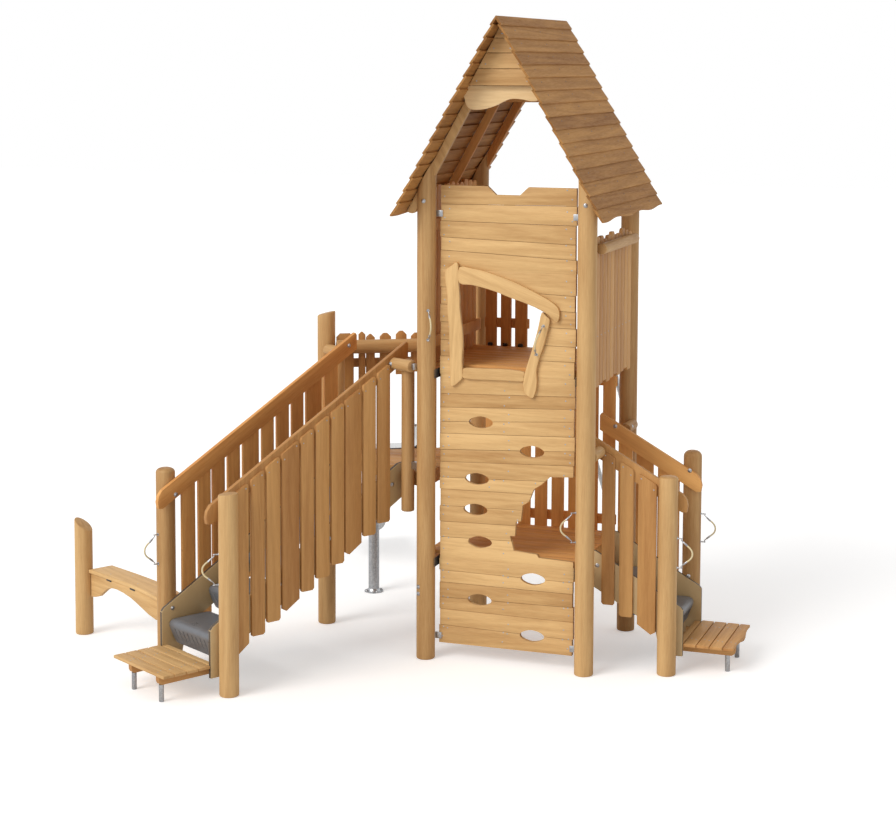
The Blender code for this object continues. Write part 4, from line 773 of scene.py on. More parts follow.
print("posts under the roof", round(POST_TOP, 3), "m")

# %% Posts of the landing, the stairs and the bench
STAIR_POST_IN = RAIL_FACE - GAP - POST_R
RIGHT_POST_IN = RAIL_FACE - GAP - POST_R * cos(pi / 16)
STAIR_POST_AT = 1.72
RIGHT_POST_AT = 0.60
STUB_Z = 2.335
HANG_R = 0.0525
HANG_FOOT = 1.155
HANG_TOP = 2.375
HANG_LENGTH = HANG_TOP - HANG_FOOT
HANG_STUB_R = 0.0475
BENCH_POST_AT = 2.338


def beside(t, s, z=0.0):
    """A place given along the landing's front, down the long stair and up."""
    return ORIGIN + TO_LANDING * t + DOWN_STAIR * s + Z * z


near_stub = beside(RAIL_FACE - GAP, 0.090, STUB_Z)
far_stub = beside(TOWER - RAIL_FACE + GAP, 0.050, STUB_Z)
log_piece("log_landing", "landing_post", (LANDING, Z, 2.630, POST_R, 8.4, {"lean": Vector((0.25, 0.05, 0))}))
log_piece("log_hanging_near", "hanging_post",
          (beside(0.197, 0.0235, HANG_FOOT), Z, HANG_LENGTH, HANG_R, 9.9, {"dome": 0.040}),
          (near_stub, -TO_LANDING, RAIL_FACE - 0.0643, HANG_STUB_R, 10.2, {}))
log_piece("log_hanging_far", "landing_hanging_post",
          (beside(TOWER - 0.197, 0.0235, HANG_FOOT), Z, HANG_LENGTH, HANG_R, 11.5, {"dome": 0.040}),
          (far_stub, TO_LANDING, RAIL_FACE - POST_R - 3 * GAP, HANG_STUB_R, 12.8, {}))
right_posts = [spot(TOWER + RIGHT_POST_AT, y, 0) for y in (RIGHT_POST_IN, TOWER - RIGHT_POST_IN)]
log_piece("log_stair_front", "left_stair_front_post",
          (beside(STAIR_POST_IN, STAIR_POST_AT), Z, 1.530, POST_R, 13.6, {"lean": X * 0.10}))
log_piece("log_stair_back", "left_stair_back_post",
          (beside(TOWER - STAIR_POST_IN, STAIR_POST_AT), Z, 1.590, POST_R, 14.1, {"dome": 0.035}))
log_piece("log_right_front", "right_stair_front_post", (right_posts[0], Z, 1.560, POST_R, 15.3, {"dome": 0.020}))
log_piece("log_right_back", "right_stair_back_post", (right_posts[1], Z, 1.600, POST_R, 16.7, {"dome": 0.050}))
log_piece("log_bench", "bench_post",
          (beside(BENCH_POST_AT, STAIR_POST_AT), Z, 0.917, 0.0742, 17.2, {"lean": X * -0.72}))
print("posts of the landing, stairs and bench set")

# %% Round rail
low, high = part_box("right_wall_rail")
foot = Vector(((low.x + high.x) / 2 - 0.002, low.y, (low.z + high.z) / 2))
log_piece("log_right_wall", "right_wall_rail", (foot, Y, high.y - low.y, (high.x - low.x) / 2, 18.9, {}))
print("rail of", round(high.y - low.y, 3), "m")

# %% [markdown]
# ## The roof
# Sixteen boards lap down each slope. They all come from one board, bevelled and cut into a fine
# grid, which a Geometry Nodes tree repeats down the slope. The tree stores a random tone for each
# board, then lets the lower edge and the ends wander, as boards sawn with the bark edge do.

# %% One roof board
ROOF_BOARDS = 16
ROOF_HALF = 0.858
BOARD_T = 0.016
LAP = 0.020
ROOF_FRONT = -0.292
ROOF_BACK = TOWER + 0.328
SLOPE_LENGTH = ROOF_HALF / cos(ROOF_ANGLE)
EXPOSURE = SLOPE_LENGTH / ROOF_BOARDS
ROOF_CUTS = 64


def slope_ways(side):
    """Down a slope and straight out of it; side is -1 on the left and 1 on the right."""
    return (Vector((side * cos(ROOF_ANGLE), 0, -sin(ROOF_ANGLE))),
            Vector((side * sin(ROOF_ANGLE), 0, cos(ROOF_ANGLE))))


def board_blank(side, wavy):
    """One board at the ridge, cut into a grid along its length; the last board ends in waves."""
    down, out = slope_ways(side)
    run = EXPOSURE + LAP
    tilt = Vector((run, BOARD_T)).normalized()
    along = down * tilt.x + out * tilt.y
    over = (out * tilt.x - down * tilt.y) * BOARD_T
    base = RIDGE - down * LAP - out * (2 * BOARD_T + 0.0004)
    work = bmesh.new()
    rows = []
    for i in range(ROOF_CUTS + 1):
        y = ROOF_FRONT + 0.006 + (ROOF_BACK - ROOF_FRONT - 0.012) * i / ROOF_CUTS
        scallop = 0.010 * (1 + sin(y * 9.0)) if wavy else 0.0
        start = base - Y * base.y + Y * (ORIGIN.y + y)
        end = run / tilt.x - 0.0015 - scallop
        steps = ((0, 0), (end - 0.004, 0), (end, 0.25), (end, 0.70), (end - 0.004, 1), (0, 1))
        rows.append([work.verts.new(start + along * far + over * high) for far, high in steps])
    loft(work, rows)
    outward(work)
    return into_scene("roof_board", to_mesh(work, "roof_board"))


# %% Courses of boards
def courses_tree():
    """Repeats a board down a slope, gives each its own tone, and lets its edges wander."""
    tree, sockets, given = geometry_tree("courses_of_boards", "Slope", Board="Geometry", Courses="Int",
                                         Step="Vector", Wander="Float", Down="Vector", Seed="Int", Wood="Material")
    line = node(tree, "GeometryNodeMeshLine", in_Count=given["Courses"], in_Offset=given["Step"], mode="OFFSET")
    copies = node(tree, "GeometryNodeInstanceOnPoints", in_Points=line.outputs[0], in_Instance=given["Board"])
    pick = node(tree, "FunctionNodeRandomValue", in_Seed=given["Seed"], data_type="FLOAT")
    tone = node(tree, "GeometryNodeStoreNamedAttribute", copies.outputs[0], in_Name="tone",
                in_Value=pick.outputs[1], data_type="FLOAT", domain="INSTANCE")
    real = node(tree, "GeometryNodeRealizeInstances", tone.outputs[0])
    grain = node(tree, "GeometryNodeStoreNamedAttribute", real.outputs[0], in_Name="grain", in_Value=(0, 1, 0),
                 data_type="FLOAT_VECTOR", domain="POINT")
    wave = speckle(tree, node(tree, "GeometryNodeInputPosition").outputs[0], 2.4, 1.5)
    shift = vector_calc(tree, "SCALE", given["Down"], in_Scale=calc(tree, "MULTIPLY", wave, given["Wander"]))
    moved = node(tree, "GeometryNodeSetPosition", grain.outputs[0], in_Offset=shift)
    paint_and_close(tree, moved.outputs[0], given["Wood"])
    return tree, sockets


COURSES = courses_tree()


def lay_courses(side, count, start, wavy, seed):
    """The mesh of some courses of one slope."""
    down = slope_ways(side)[0]
    blank = board_blank(side, wavy)
    blank.data.transform(Matrix.Translation(down * EXPOSURE * start))
    return run_tree(blank, *COURSES, Courses=count, Step=down * EXPOSURE, Wander=-0.007, Down=down, Seed=seed,
                    Wood=ROOF_WOOD)


for side, name in ((-1, "roof_left"), (1, "roof_right")):
    work = bmesh.new()
    work.from_mesh(lay_courses(side, ROOF_BOARDS - 1, 0, False, 5 + side))
    work.from_mesh(lay_courses(side, 1, ROOF_BOARDS - 1, True, 9 + side))
    cut = bmesh.ops.bisect_plane(work, geom=work.verts[:] + work.edges[:] + work.faces[:],
                                 plane_co=RIDGE + X * (side * 0.0004), plane_no=X * -side, clear_outer=True)
    rim = [edge for edge in cut["geom_cut"] if isinstance(edge, bmesh.types.BMEdge) and edge.is_boundary]
    bmesh.ops.contextual_create(work, geom=rim)
    roof = finish_piece(work, name + "_boards", [ROOF_WOOD], slot="board", replaced=[name])
    down, out = slope_ways(side)
    for course in range(ROOF_BOARDS):
        at = RIDGE + down * (EXPOSURE * (course + 0.45)) - out * (BOARD_T * 0.42)
        for y in (0.010, TOWER * 0.515, TOWER - 0.010):
            for nudge in (-0.016, 0.016):
                roof_screws.append((at - Y * at.y + Y * (ORIGIN.y + y + nudge) + down * nudge, out))
    print(name, "boards:", len(roof.data.polygons), "faces")

# %% [markdown]
# ## Gable boards
# Four plain boards close the front gable, with a paler, scalloped board below them. The scalloped
# one is drawn with a spline, and small blocks behind the boards keep them apart.

# %% Gable
GABLE_OUT = 0.130
SEAM = 0.002
BLOCK_FROM = 0.0228
CENTRE = TOWER / 2
boards = []
apex = under_roof(CENTRE) - GAP / cos(ROOF_ANGLE)
gable_lines = [4.895, 4.783, 4.664, 4.536]
for index, (high, low) in enumerate(zip([apex, *gable_lines[:-1]], gable_lines)):
    half_low = (apex - low - SEAM) / ROOF_SLOPE - 0.002
    half_high = max(0.004, (apex - high + SEAM) / ROOF_SLOPE - 0.002)
    outline = [(CENTRE - half_low, low + SEAM), (CENTRE + half_low, low + SEAM),
               (CENTRE + half_high, high - SEAM), (CENTRE - half_high, high - SEAM)]
    boards.append((X, Z, outline, GABLE_OUT - 0.025, GABLE_OUT, X, 0.55 + 0.4 * unit(index * 0.7)))
    for x in (-half_low + 0.06, half_low - 0.06):
        screws.append((spot(CENTRE + x, -GABLE_OUT, low + 0.035), -Y))
for x, low, high, front in ((0.62, 4.56, 4.92, 0.105), (0.43, 4.46, 4.52, 0.055), (0.62, 4.46, 4.52, 0.055),
                            (0.81, 4.46, 4.52, 0.055)):
    outline = [(x, low), (x + 0.06, low), (x + 0.06, high), (x, high)]
    boards.append((X, Z, outline, BLOCK_FROM, front, Z, 0.6))
scallop = [(-0.318, 4.440), (-0.326, 4.480), (-0.290, 4.532), (-0.150, 4.535), (0.0, 4.535), (0.150, 4.535),
           (0.262, 4.532), (0.294, 4.486), (0.270, 4.428), (0.215, 4.420), (0.163, 4.430), (0.105, 4.437),
           (0.050, 4.434), (0.0, 4.415), (-0.055, 4.388), (-0.130, 4.362), (-0.211, 4.350), (-0.268, 4.356),
           (-0.300, 4.385)]
wave = rounded([(CENTRE + a, b) for a, b in scallop], 4)
boards_piece("gable_wavy_board", PALE_WOOD, [(X, Z, wave, 0.055, 0.080, X, 0.05)], 0.0025, slot="panel")
boards_piece("gable_front", WALL_WOOD, boards, 0.0025, slot="panel", replaced=["gable_boards"])
print("gable of", len(gable_lines), "boards and a wavy one")


# %% Rafters
def rafter_grain(here):
    return slope_ways(1 if here.x > RIDGE.x else -1)[0]


# the rafters inside the roof take the brighter, more orange copy of the wood: painted warm bounce light in their
# shade
for name, material in (("front_rafters", WALL_WOOD), ("middle_rafters", BOUNCE_LIT_WOOD), ("back_rafters", BOUNCE_LIT_WOOD)):
    eased(name, material, Y, X, rafter_grain, big=0.01, width=0.004)

# %% [markdown]
# ## Floors, walls and barrier
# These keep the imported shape. Each call names the direction the boards face, the direction in
# which they are counted and the way their grain runs.

# %% Floors
BEAM_FRONT = 0.1055


def fitting_ends(face):
    """The steel plates that carry the beams reach past them, beside the posts."""
    here = face.calc_center_median() - ORIGIN
    at_side = here.x < POST_R + 0.006 or here.x > TOWER - POST_R - 0.006
    return at_side and (here.y < BEAM_FRONT - 0.001 or here.y > TOWER - BEAM_FRONT + 0.001)


# the floors inside the cabin take the brighter, more orange copy of the wood: painted warm bounce light in their
# shade
for name in ("lower_floor", "upper_floor"):
    eased(name, BOUNCE_LIT_WOOD, Z, Y, X, second=DARK, second_where=fitting_ends)
eased("landing_floor", BOARD_WOOD, Z, Y, X)

# %% Walls and barrier
# the left and back walls, seen from inside in shade, take the brighter, more orange copy of the wood: painted warm
# bounce light
for name, material, out, across in (("left_wall_planks", BOUNCE_LIT_WOOD, X, Y), ("right_wall_planks", BOARD_WOOD, X, Y),
                                    ("back_wall_upper", BOUNCE_LIT_WOOD, -Y, X), ("back_wall_lower", BOUNCE_LIT_WOOD, -Y, X)):
    eased(name, material, out, across, Z, slot="board", width=0.004)
right_wall_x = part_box("right_wall_planks")[1].x
for index in range(10):
    for z in (3.24 + 0.045, 2.62):
        screws.append((Vector((right_wall_x, ORIGIN.y + 0.150 + index * 0.1085, z)), X))


def on_rail(here):
    return (here - LANDING).dot(OUT_SLIDE) < -0.0205


eased("landing_barrier", RAIL_WOOD, OUT_SLIDE, ALONG_BARRIER, lambda here: ALONG_BARRIER if on_rail(here) else Z,
      slot="board", width=0.004, second=LOG_WOOD, second_where=lambda face: on_rail(face.calc_center_median()))
print("screws so far", len(screws))

# %% [markdown]
# ## Stairs
# A stair has a moulded flight between two sheets, and a rail with upright boards on each side.
# The rail runs with the slope and so does its grain; the boards under it stand upright. The
# treads are drawn again: each is a hollow moulding with a soft nose and a riser that slopes in.


# %% Stair directions
STRINGER_IN = 0.3303
LOW_Z = 0.23


class Flight:
    """Where a stair starts and which way it goes."""

    def __init__(self, start, down, inward, first, steps, top):
        self.start, self.down, self.inward = start, down, inward
        self.first, self.top = first, top
        self.top_edge = first - GOING * steps
        self.treads = [(first - GOING * k, LOW_Z + RISE * (k + 1)) for k in range(steps)]

    def place(self, s, t, z):
        return self.start + self.down * s + self.inward * t + Z * z

    def nosing(self, s):
        return self.top - RISE / GOING * (s - self.top_edge)


left_stair = Flight(ORIGIN, DOWN_STAIR, TO_LANDING, 1.780, 5, LANDING_Z)
right_stair = Flight(ORIGIN + X * TOWER, X, Y, 0.658, 2, FLOOR_Z)
print("treads", len(left_stair.treads), "and", len(right_stair.treads))


# %% Moulded treads
COLUMNS = 14
SOFT_SIDE = 0.030               # over this width a tread's sides are eased


def moulded_treads(name, stair, replaced):
    """Every tread is a block with a soft nose, a sloping riser and eased sides."""
    work = bmesh.new()
    wide = TOWER - 2 * STRINGER_IN - 0.004
    for s, z in stair.treads:
        foot = z - RISE + 0.012
        back = s - GOING + 0.012
        profile = [(back, z), (s - 0.20, z), (s - 0.060, z), (s - 0.032, z - 0.003), (s - 0.012, z - 0.013),
                   (s - 0.002, z - 0.032), (s - 0.004, z - 0.055), (s - 0.030, z - 0.120), (s - 0.055, foot + 0.012),
                   (s - 0.062, foot), (s - 0.078, foot), (s - 0.070, foot + 0.020), (s - 0.030, z - 0.060),
                   (s - 0.045, z - 0.026), (s - 0.20, z - 0.022), (back, z - 0.022)]
        rings = []
        for c in range(COLUMNS + 1):
            share = c / COLUMNS
            edge = min(share, 1 - share) * wide
            soft = 1.0 if edge > SOFT_SIDE else sqrt(max(0.0, 1 - (1 - edge / SOFT_SIDE) ** 2))
            shrink = (1 - soft) * 0.012
            rings.append([work.verts.new(stair.place(a - (shrink if 1 < i < 11 else 0.0),
                                                     STRINGER_IN + 0.002 + wide * share,
                                                     b - (shrink if i < 8 else 0.0)))
                          for i, (a, b) in enumerate(profile)])
        loft(work, rings)
    outward(work)
    finish_piece(work, name, [TREAD], slot="step", replaced=[replaced])


# %% Ribs on the risers
def riser_ribs(name, stair):
    """Fine upright ribs moulded into each riser."""
    work = bmesh.new()
    wide = TOWER - 2 * STRINGER_IN
    for s, z in stair.treads:
        for c in range(9):
            t = STRINGER_IN + wide * (0.14 + 0.09 * c)
            rows = []
            for a, b in ((s - 0.004, z - 0.062), (s - 0.030, z - 0.124), (s - 0.050, z - 0.168)):
                shape = ((0.0002, -0.0025), (0.0014, 0.0), (0.0002, 0.0025), (-0.004, 0.0))
                rows.append([work.verts.new(stair.place(a + forth, t + off, b)) for forth, off in shape])
            loft(work, rows)
    outward(work)
    finish_piece(work, name, [TREAD], slot="step")


moulded_treads("left_treads", left_stair, "left_stair_steps")
moulded_treads("right_treads", right_stair, "right_stair_steps")
riser_ribs("left_riser_ribs", left_stair)
riser_ribs("right_riser_ribs", right_stair)
print("ribs on each riser: 9")


# %% Stringers, rails and upright boards
RAIL_FROM = 0.2998              # upright boards lie before this distance, the rail behind it


def stair_sides(side, stair):
    """Both sheets of a stair and both balustrades."""
    slope = (stair.down * GOING - Z * RISE).normalized()

    def cut_edges(face):
        return abs(face.normal.dot(stair.inward)) < 0.5

    # the far balustrades take the brighter, more orange copy of the wood: painted bounce light on their shaded side
    for which, rail in (("near", RAIL_WOOD), ("far", BOUNCE_LIT_WOOD)):
        def rail_grain(here, far=which == "far"):
            t = (here - stair.start).dot(stair.inward)
            return slope if (TOWER - t if far else t) > RAIL_FROM else Z

        eased(f"{side}_stair_stringer_{which}", PANEL, stair.inward, stair.down, slope, slot="panel", width=0.003,
              second=CORE, second_where=cut_edges)
        eased(f"{side}_balustrade_{which}", rail, stair.inward, stair.down, rail_grain, big=0.01, width=0.004)


stair_sides("left", left_stair)
stair_sides("right", right_stair)

# %% Screws and bolts of the stairs
LEFT_NEAR = [(1.501, 1.639), (1.354, 1.472), (1.210, 1.332), (1.032, 1.189), (0.892, 1.010), (0.744, 0.870),
             (0.600, 0.720), (0.429, 0.584), (0.286, 0.407), (0.142, 0.262)]
RIGHT_NEAR = [(0.061, 0.162), (0.204, 0.310), (0.350, 0.494)]
PICKET_FACE = 0.300 - 0.025
FAR_RAIL, FAR_SHEET, NEAR_SIDE = TOWER - 0.335, TOWER - 0.330, 0.300
for stair, boards, rise in ((left_stair, LEFT_NEAR, 1.026), (right_stair, RIGHT_NEAR, 0.990)):
    for low, high in boards:
        for s, drop in ((low + 0.022, 0.030), (high - 0.022, 0.055)):
            z = stair.nosing(s) + rise - 0.048 - drop
            screws.append((stair.place(s, PICKET_FACE, z), -stair.inward))
for stair, places in (
        (left_stair, ((0.10, NEAR_SIDE, 1.36), (0.72, NEAR_SIDE, 1.02), (1.20, NEAR_SIDE, 0.74),
                      (1.70, FAR_RAIL, 1.393), (0.02, FAR_RAIL, 2.395), (1.735, FAR_SHEET, 0.508))),
        (right_stair, ((-0.02, FAR_RAIL, 1.775), (0.600, FAR_RAIL, 1.455), (0.020, NEAR_SIDE, 0.790),
                       (0.600, FAR_SHEET, 0.590)))):
    bolts += [(stair.place(*place), -stair.inward) for place in places]
bolts += [(near_stub + TO_LANDING * -0.020 + DOWN_STAIR * 0.046, DOWN_STAIR),
          (far_stub + TO_LANDING * 0.100 + DOWN_STAIR * 0.0465, DOWN_STAIR),
          (spot(STUB_X + 0.045, TOWER - 0.20, 1.755), X)]
bolts += [(spot(x, -POST_R + 0.001, 3.640), -Y) for x in (0.0, TOWER)]
bolts += [(spot(-0.040, -0.062, z), Vector((-0.54, -0.84, 0))) for z in (0.585, 0.530)]
print("bolts so far", len(bolts))

# %% [markdown]
# ## Low platforms
# Five boards lie on two joists, and each joist stands on a galvanised tube set in the ground. The
# joists' front ends are rounded, and the outermost board of the right platform ends in waves.

# %% Tubes along a path
def neighbours(path, i):
    """The way a path runs at one of its points."""
    return (path[min(i + 1, len(path) - 1)] - path[max(i - 1, 0)]).normalized()


def add_tube(work, path, radius, sides=16, closed_ends=True):
    """A tube through points, turned as little as possible from ring to ring."""
    start = path[1] - path[0]
    side = (Z if abs(start.normalized().z) < 0.9 else X).cross(start).normalized()
    angles = [2 * pi * k / sides for k in range(sides)]
    rings = []
    for i, point in enumerate(path):
        ahead = neighbours(path, i)
        side = (side - ahead * side.dot(ahead)).normalized()
        other = ahead.cross(side)
        reach = radius[i] if isinstance(radius, list) else radius
        rings.append([work.verts.new(point + (side * cos(angle) + other * sin(angle)) * reach) for angle in angles])
    loft(work, rings, closed_ends)


def add_turned(work, foot, heights, radii, sides):
    """A tube that stands on a place."""
    add_tube(work, [foot + Z * z for z in heights], radii, sides)


def turned_piece(name, material, feet, heights, radii, sides, slot):
    """The same tube on several places."""
    work = bmesh.new()
    for foot in feet:
        add_turned(work, foot, heights, radii, sides)
    outward(work)
    finish_piece(work, name, [material], slot=slot)


def spline(points, steps):
    """An open curve through points."""
    full = [2 * points[0] - points[1], *points, 2 * points[-1] - points[-2]]
    return [between(*full[i - 1:i + 3], s / steps) for i in range(1, len(full) - 2) for s in range(steps)] \
        + [points[-1]]


# %% Platform boards and joists
BOARD_LOW = LOW_Z - 0.022
LOW_PITCH = 0.10375
JOIST_LOW = BOARD_LOW - 0.078
JOIST_HALF = 0.0215
DECK_EDGE = 0.3005
FIRST_BOARD = 0.053             # the board under the lowest tread


def low_platform(name, stair, legs, leg_at, wood_kind, wavy):
    """The wooden part of a platform and its legs."""
    start = stair.first + FIRST_BOARD
    near, far = DECK_EDGE, TOWER - DECK_EDGE
    back, front = stair.first + 0.0005, start - 0.005
    inner = TOWER - STRINGER_IN
    outlines = [([(back, STRINGER_IN), (front, STRINGER_IN), (front, inner), (back, inner)], 0.2)]
    for index in range(4):
        low = start + index * LOW_PITCH + 0.004
        high = low + LOW_PITCH - 0.009
        outer = [(high, near), (high, far)]
        if wavy and index == 3:
            outer = [(high - 0.0006 - 0.011 * (1 + sin(i * 0.55)), near + (far - near) * i / 16) for i in range(17)]
        outlines.append(([(low, near), *outer, (low, far)], unit(index * 0.37 + stair.first)))
    turn = stair.down.cross(stair.inward).z
    levels = (BOARD_LOW, LOW_Z) if turn > 0 else (-LOW_Z, -BOARD_LOW)
    boards = [(stair.down, stair.inward, outline, *levels, stair.inward, tone, stair.start)
              for outline, tone in outlines]
    boards_piece(name + "_boards", wood_kind, boards, 0.003, replaced=[name])
    back, end = stair.first - 0.044, start + 4 * LOW_PITCH - 0.031
    profile = [(back, JOIST_LOW), (end - 0.030, JOIST_LOW), (end - 0.010, JOIST_LOW + 0.012),
               (end - 0.002, JOIST_LOW + 0.032), (end, BOARD_LOW - 0.0005), (back, BOARD_LOW - 0.0005)]
    ways = [stair.down.cross(Z).dot(stair.inward) * t for t in legs]
    joists = [(stair.down, Z, profile, way - JOIST_HALF, way + JOIST_HALF, stair.down, 0.4, stair.start)
              for way in ways]
    boards_piece(name + "_joists", BOARD_WOOD, joists, 0.004)
    turned_piece(name + "_legs", ZINC, [stair.place(leg_at, t, 0) for t in legs], (0.0, 0.002, JOIST_LOW - 0.001),
                 [0.0175, 0.0190, 0.0190], 24, "steel")
    for index in range(4):
        s = start + (index + 0.5) * LOW_PITCH
        for t in legs:
            screws.append((stair.place(s + 0.018, t - 0.008, LOW_Z), Z))
            screws.append((stair.place(s - 0.020, t + 0.010, LOW_Z), Z))


low_platform("left_low_platform", left_stair, (0.430, 0.810), 2.180, WALL_WOOD, False)
low_platform("right_low_platform", right_stair, (0.468, 0.850), 1.030, BOARD_WOOD, True)
print("screws so far", len(screws))

# %% [markdown]
# ## The bench
# The seat is one thick board with a belly, and the beam under it is sawn to an arch. Both are
# drawn again from the points that shape them, and small dark blocks stand between the two.

# %% Seat and apron
SEAT_LOW, SEAT_TOP = 0.5205, 0.5500
BEAM_TOP = 0.5195
seat_in = TOWER - STAIR_POST_IN + POST_R + 0.002
seat_out = BENCH_POST_AT - POST_R - 0.002
bench_at = beside(0.0, STAIR_POST_AT)
turned_way = TO_LANDING.cross(Z).dot(DOWN_STAIR)


def from_post(points):
    """Points counted from the stair post."""
    return [(seat_in + a, b) for a, b in points]


def on_edge(outline, low, high, grain, tone):
    """A board that stands on edge under the seat, between two distances in front of it."""
    return TO_LANDING, Z, outline, *sorted((turned_way * low, turned_way * high)), grain, tone, bench_at


front = from_post([(0.0, 0.040), (0.12, 0.018), (0.25, 0.002), (0.40, -0.008), (0.55, -0.012), (0.70, -0.011),
                   (0.85, -0.006)]) + [(seat_out, 0.004)]
seat = front + [(a, b - 0.225) for a, b in reversed(front)]
flat = (TO_LANDING, DOWN_STAIR, seat, SEAT_LOW, SEAT_TOP, TO_LANDING, 0.10, bench_at)
boards_piece("seat_board", WALL_WOOD, [flat], 0.008, 50, replaced=["bench_seat"])
for a, b in ((0.08, -0.02), (0.30, -0.15), (0.46, -0.07), (0.70, -0.17), (0.86, -0.06)):
    screws.append((bench_at + TO_LANDING * (seat_in + a) + DOWN_STAIR * b + Z * SEAT_TOP, Z))
arch = from_post([(0.0, 0.347), (0.06, 0.340), (0.12, 0.339), (0.22, 0.358), (0.35, 0.396), (0.48, 0.434),
                  (0.60, 0.453), (0.70, 0.460), (0.77, 0.456), (0.83, 0.443), (0.875, 0.418)])
arch += [(seat_out - 0.130, 0.347), (seat_out - 0.06, 0.326), (seat_out, 0.317), (seat_out, BEAM_TOP),
         (seat_in, BEAM_TOP)]
boards_piece("seat_apron", WALL_WOOD, [on_edge(arch, -0.055, -0.020, TO_LANDING, 0.5)], 0.005, 50,
             replaced=["bench_apron"])
blocks = [from_post([(a, 0.508), (a + 0.07, 0.508), (a + 0.07, BEAM_TOP), (a, BEAM_TOP)]) for a in (0.10, 0.42, 0.78)]
boards_piece("seat_fittings", DARK, [on_edge(block, -0.0195, -0.012, Z, 0.0) for block in blocks], 0.002, slot="dark")
print("seat of", round(seat_out - seat_in, 3), "m")

# %% [markdown]
# ## The slide
# The bed is a folded sheet of stainless steel. It is lofted again with more rows so that its
# curve is smooth, and its two top edges are rolled over a tube, as they are for small hands.


# %% Slide bed
SLIDE_HALF = 0.220
SIDE_H = 0.158
CORNER = 0.070
slide_at = LANDING + ALONG_BARRIER * 0.570
bed_line = [(0.027, 1.466), (0.18, 1.466), (0.30, 1.454), (0.40, 1.406), (0.7575, 1.147), (1.115, 0.888),
            (1.4725, 0.629), (1.83, 0.370), (1.97, 0.295), (2.11, 0.262), (2.27, 0.250), (2.48, 0.250),
            (2.65, 0.250), (2.698, 0.233)]
SHEET = 0.0035
RIM_R = 0.011
fine_line = spline([Vector((a, b, 0)) for a, b in bed_line], 5)
section = [(-SLIDE_HALF, SIDE_H), (-SLIDE_HALF, 0.12), (-SLIDE_HALF, CORNER)]
section += [(-SLIDE_HALF + CORNER - CORNER * cos(radians(t)), CORNER - CORNER * sin(radians(t)))
            for t in (18, 36, 54, 72)]
section += [(-SLIDE_HALF + CORNER, 0.0), (-0.05, 0.0)]
section += [(-a, b) for a, b in reversed(section)]
section = [Vector(point) for point in section]
ways = [neighbours(section, i) for i in range(len(section))]
under = [Vector((point.x + way.y * SHEET, point.y - way.x * SHEET)) for point, way in zip(section, ways)]
sheet = bmesh.new()
rims = bmesh.new()
rows = []
rim_lines = ([], [])
for i, point in enumerate(fine_line):
    way = neighbours(fine_line, i)
    lift = Vector((0, 1)) if i == 0 or point.x > 2.3 else Vector((-way.y, way.x))

    def on_bed(a, b):
        """A place across the bed and above it, at this point of its length."""
        return slide_at + ALONG_BARRIER * a + OUT_SLIDE * (point.x + lift.x * b) + Z * (point.y + lift.y * b)

    rows.append([sheet.verts.new(on_bed(a, b)) for a, b in section + under[::-1]])
    for line, a in zip(rim_lines, (-SLIDE_HALF - 0.003, SLIDE_HALF + 0.003)):
        line.append(on_bed(a, SIDE_H - 0.006))
loft(sheet, rows)
outward(sheet)
finish_piece(sheet, "slide_sheet", [STAINLESS], slot="steel", replaced=["slide_bed"])
for line in rim_lines:
    add_tube(rims, line[6:-3], RIM_R, 14)
outward(rims)
finish_piece(rims, "slide_rims", [STAINLESS], slot="steel")
print("slide of", len(rows), "rows")

# %% Slide entry panel and leg
LEG_R = 0.048
LEG_STEPS = 12
LEG_FALL = 0.7245               # how steeply the leg's top follows the bed
eased("slide_entry", DARK, OUT_SLIDE, ALONG_BARRIER, Z, slot="dark", width=0.004)
low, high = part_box("slide_leg")
leg_at = Vector(((low.x + high.x) / 2, (low.y + high.y) / 2, 0))
leg_top = high.z - LEG_R * LEG_FALL
work = bmesh.new()
add_turned(work, leg_at, [leg_top * i / LEG_STEPS for i in range(LEG_STEPS + 1)], LEG_R, 32)
for vert in work.verts:
    if vert.co.z > leg_top - 0.001:
        vert.co.z -= LEG_FALL * (vert.co - leg_at).dot(OUT_SLIDE)
add_turned(work, leg_at, (0.0, 0.006, 0.008), [0.085, 0.085, 0.083], 32)
add_turned(work, leg_at, (0.008, 0.012, 0.030), [0.060, 0.056, 0.0485], 32)
outward(work)
finish_piece(work, "slide_support", [ZINC], slot="steel", replaced=["slide_leg"])


def bolt_ring(centre, radius, angles):
    for angle in angles:
        bolts.append((centre + Vector((cos(radians(angle)), sin(radians(angle)), 0)) * radius, Z))


bolt_ring(leg_at + Z * 0.008, 0.070, (45, 135, 225, 315))

# %% [markdown]
# ## Banister bars
# Two steel tubes leave the cabin floor, bend down over the back and end in flanges on the ground.
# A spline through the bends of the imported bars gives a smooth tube.

# %% Bars, flanges and plate
BAR_R = 0.021
TOP_Z = UPPER_Z - 0.020
BAR_SLOPE = 1.110
BEND = 0.11
PLATE_OUT = 0.0062
floor_back = TOWER - BEAM_FRONT
foot_y = TOWER + 1.560
turn_y = floor_back + 0.235
fall = Vector((0, 1, -BAR_SLOPE)).normalized()
top = Vector((0, turn_y, TOP_Z))
knee = Vector((0, foot_y, TOP_Z - (foot_y - turn_y) * BAR_SLOPE))
corners = [Vector((0, floor_back + 0.004, TOP_Z)), top - Y * (BEND * 1.1),
           top - Y * (BEND * 0.5) + fall * BEND * 0.06, top + fall * BEND * 0.45 - Y * 0.012 - Z * 0.004,
           top + fall * BEND * 1.2, *(top.lerp(knee, share) for share in (0.25, 0.5, 0.75)),
           knee - fall * BEND * 1.2, knee - fall * (BEND * 0.5) - Z * (BEND * 0.10),
           knee - Z * (BEND * 0.50) - fall * (BEND * 0.08), knee - Z * (BEND * 1.3),
           knee - Z * 0.35, Vector((0, foot_y, 0.004))]
work = bmesh.new()
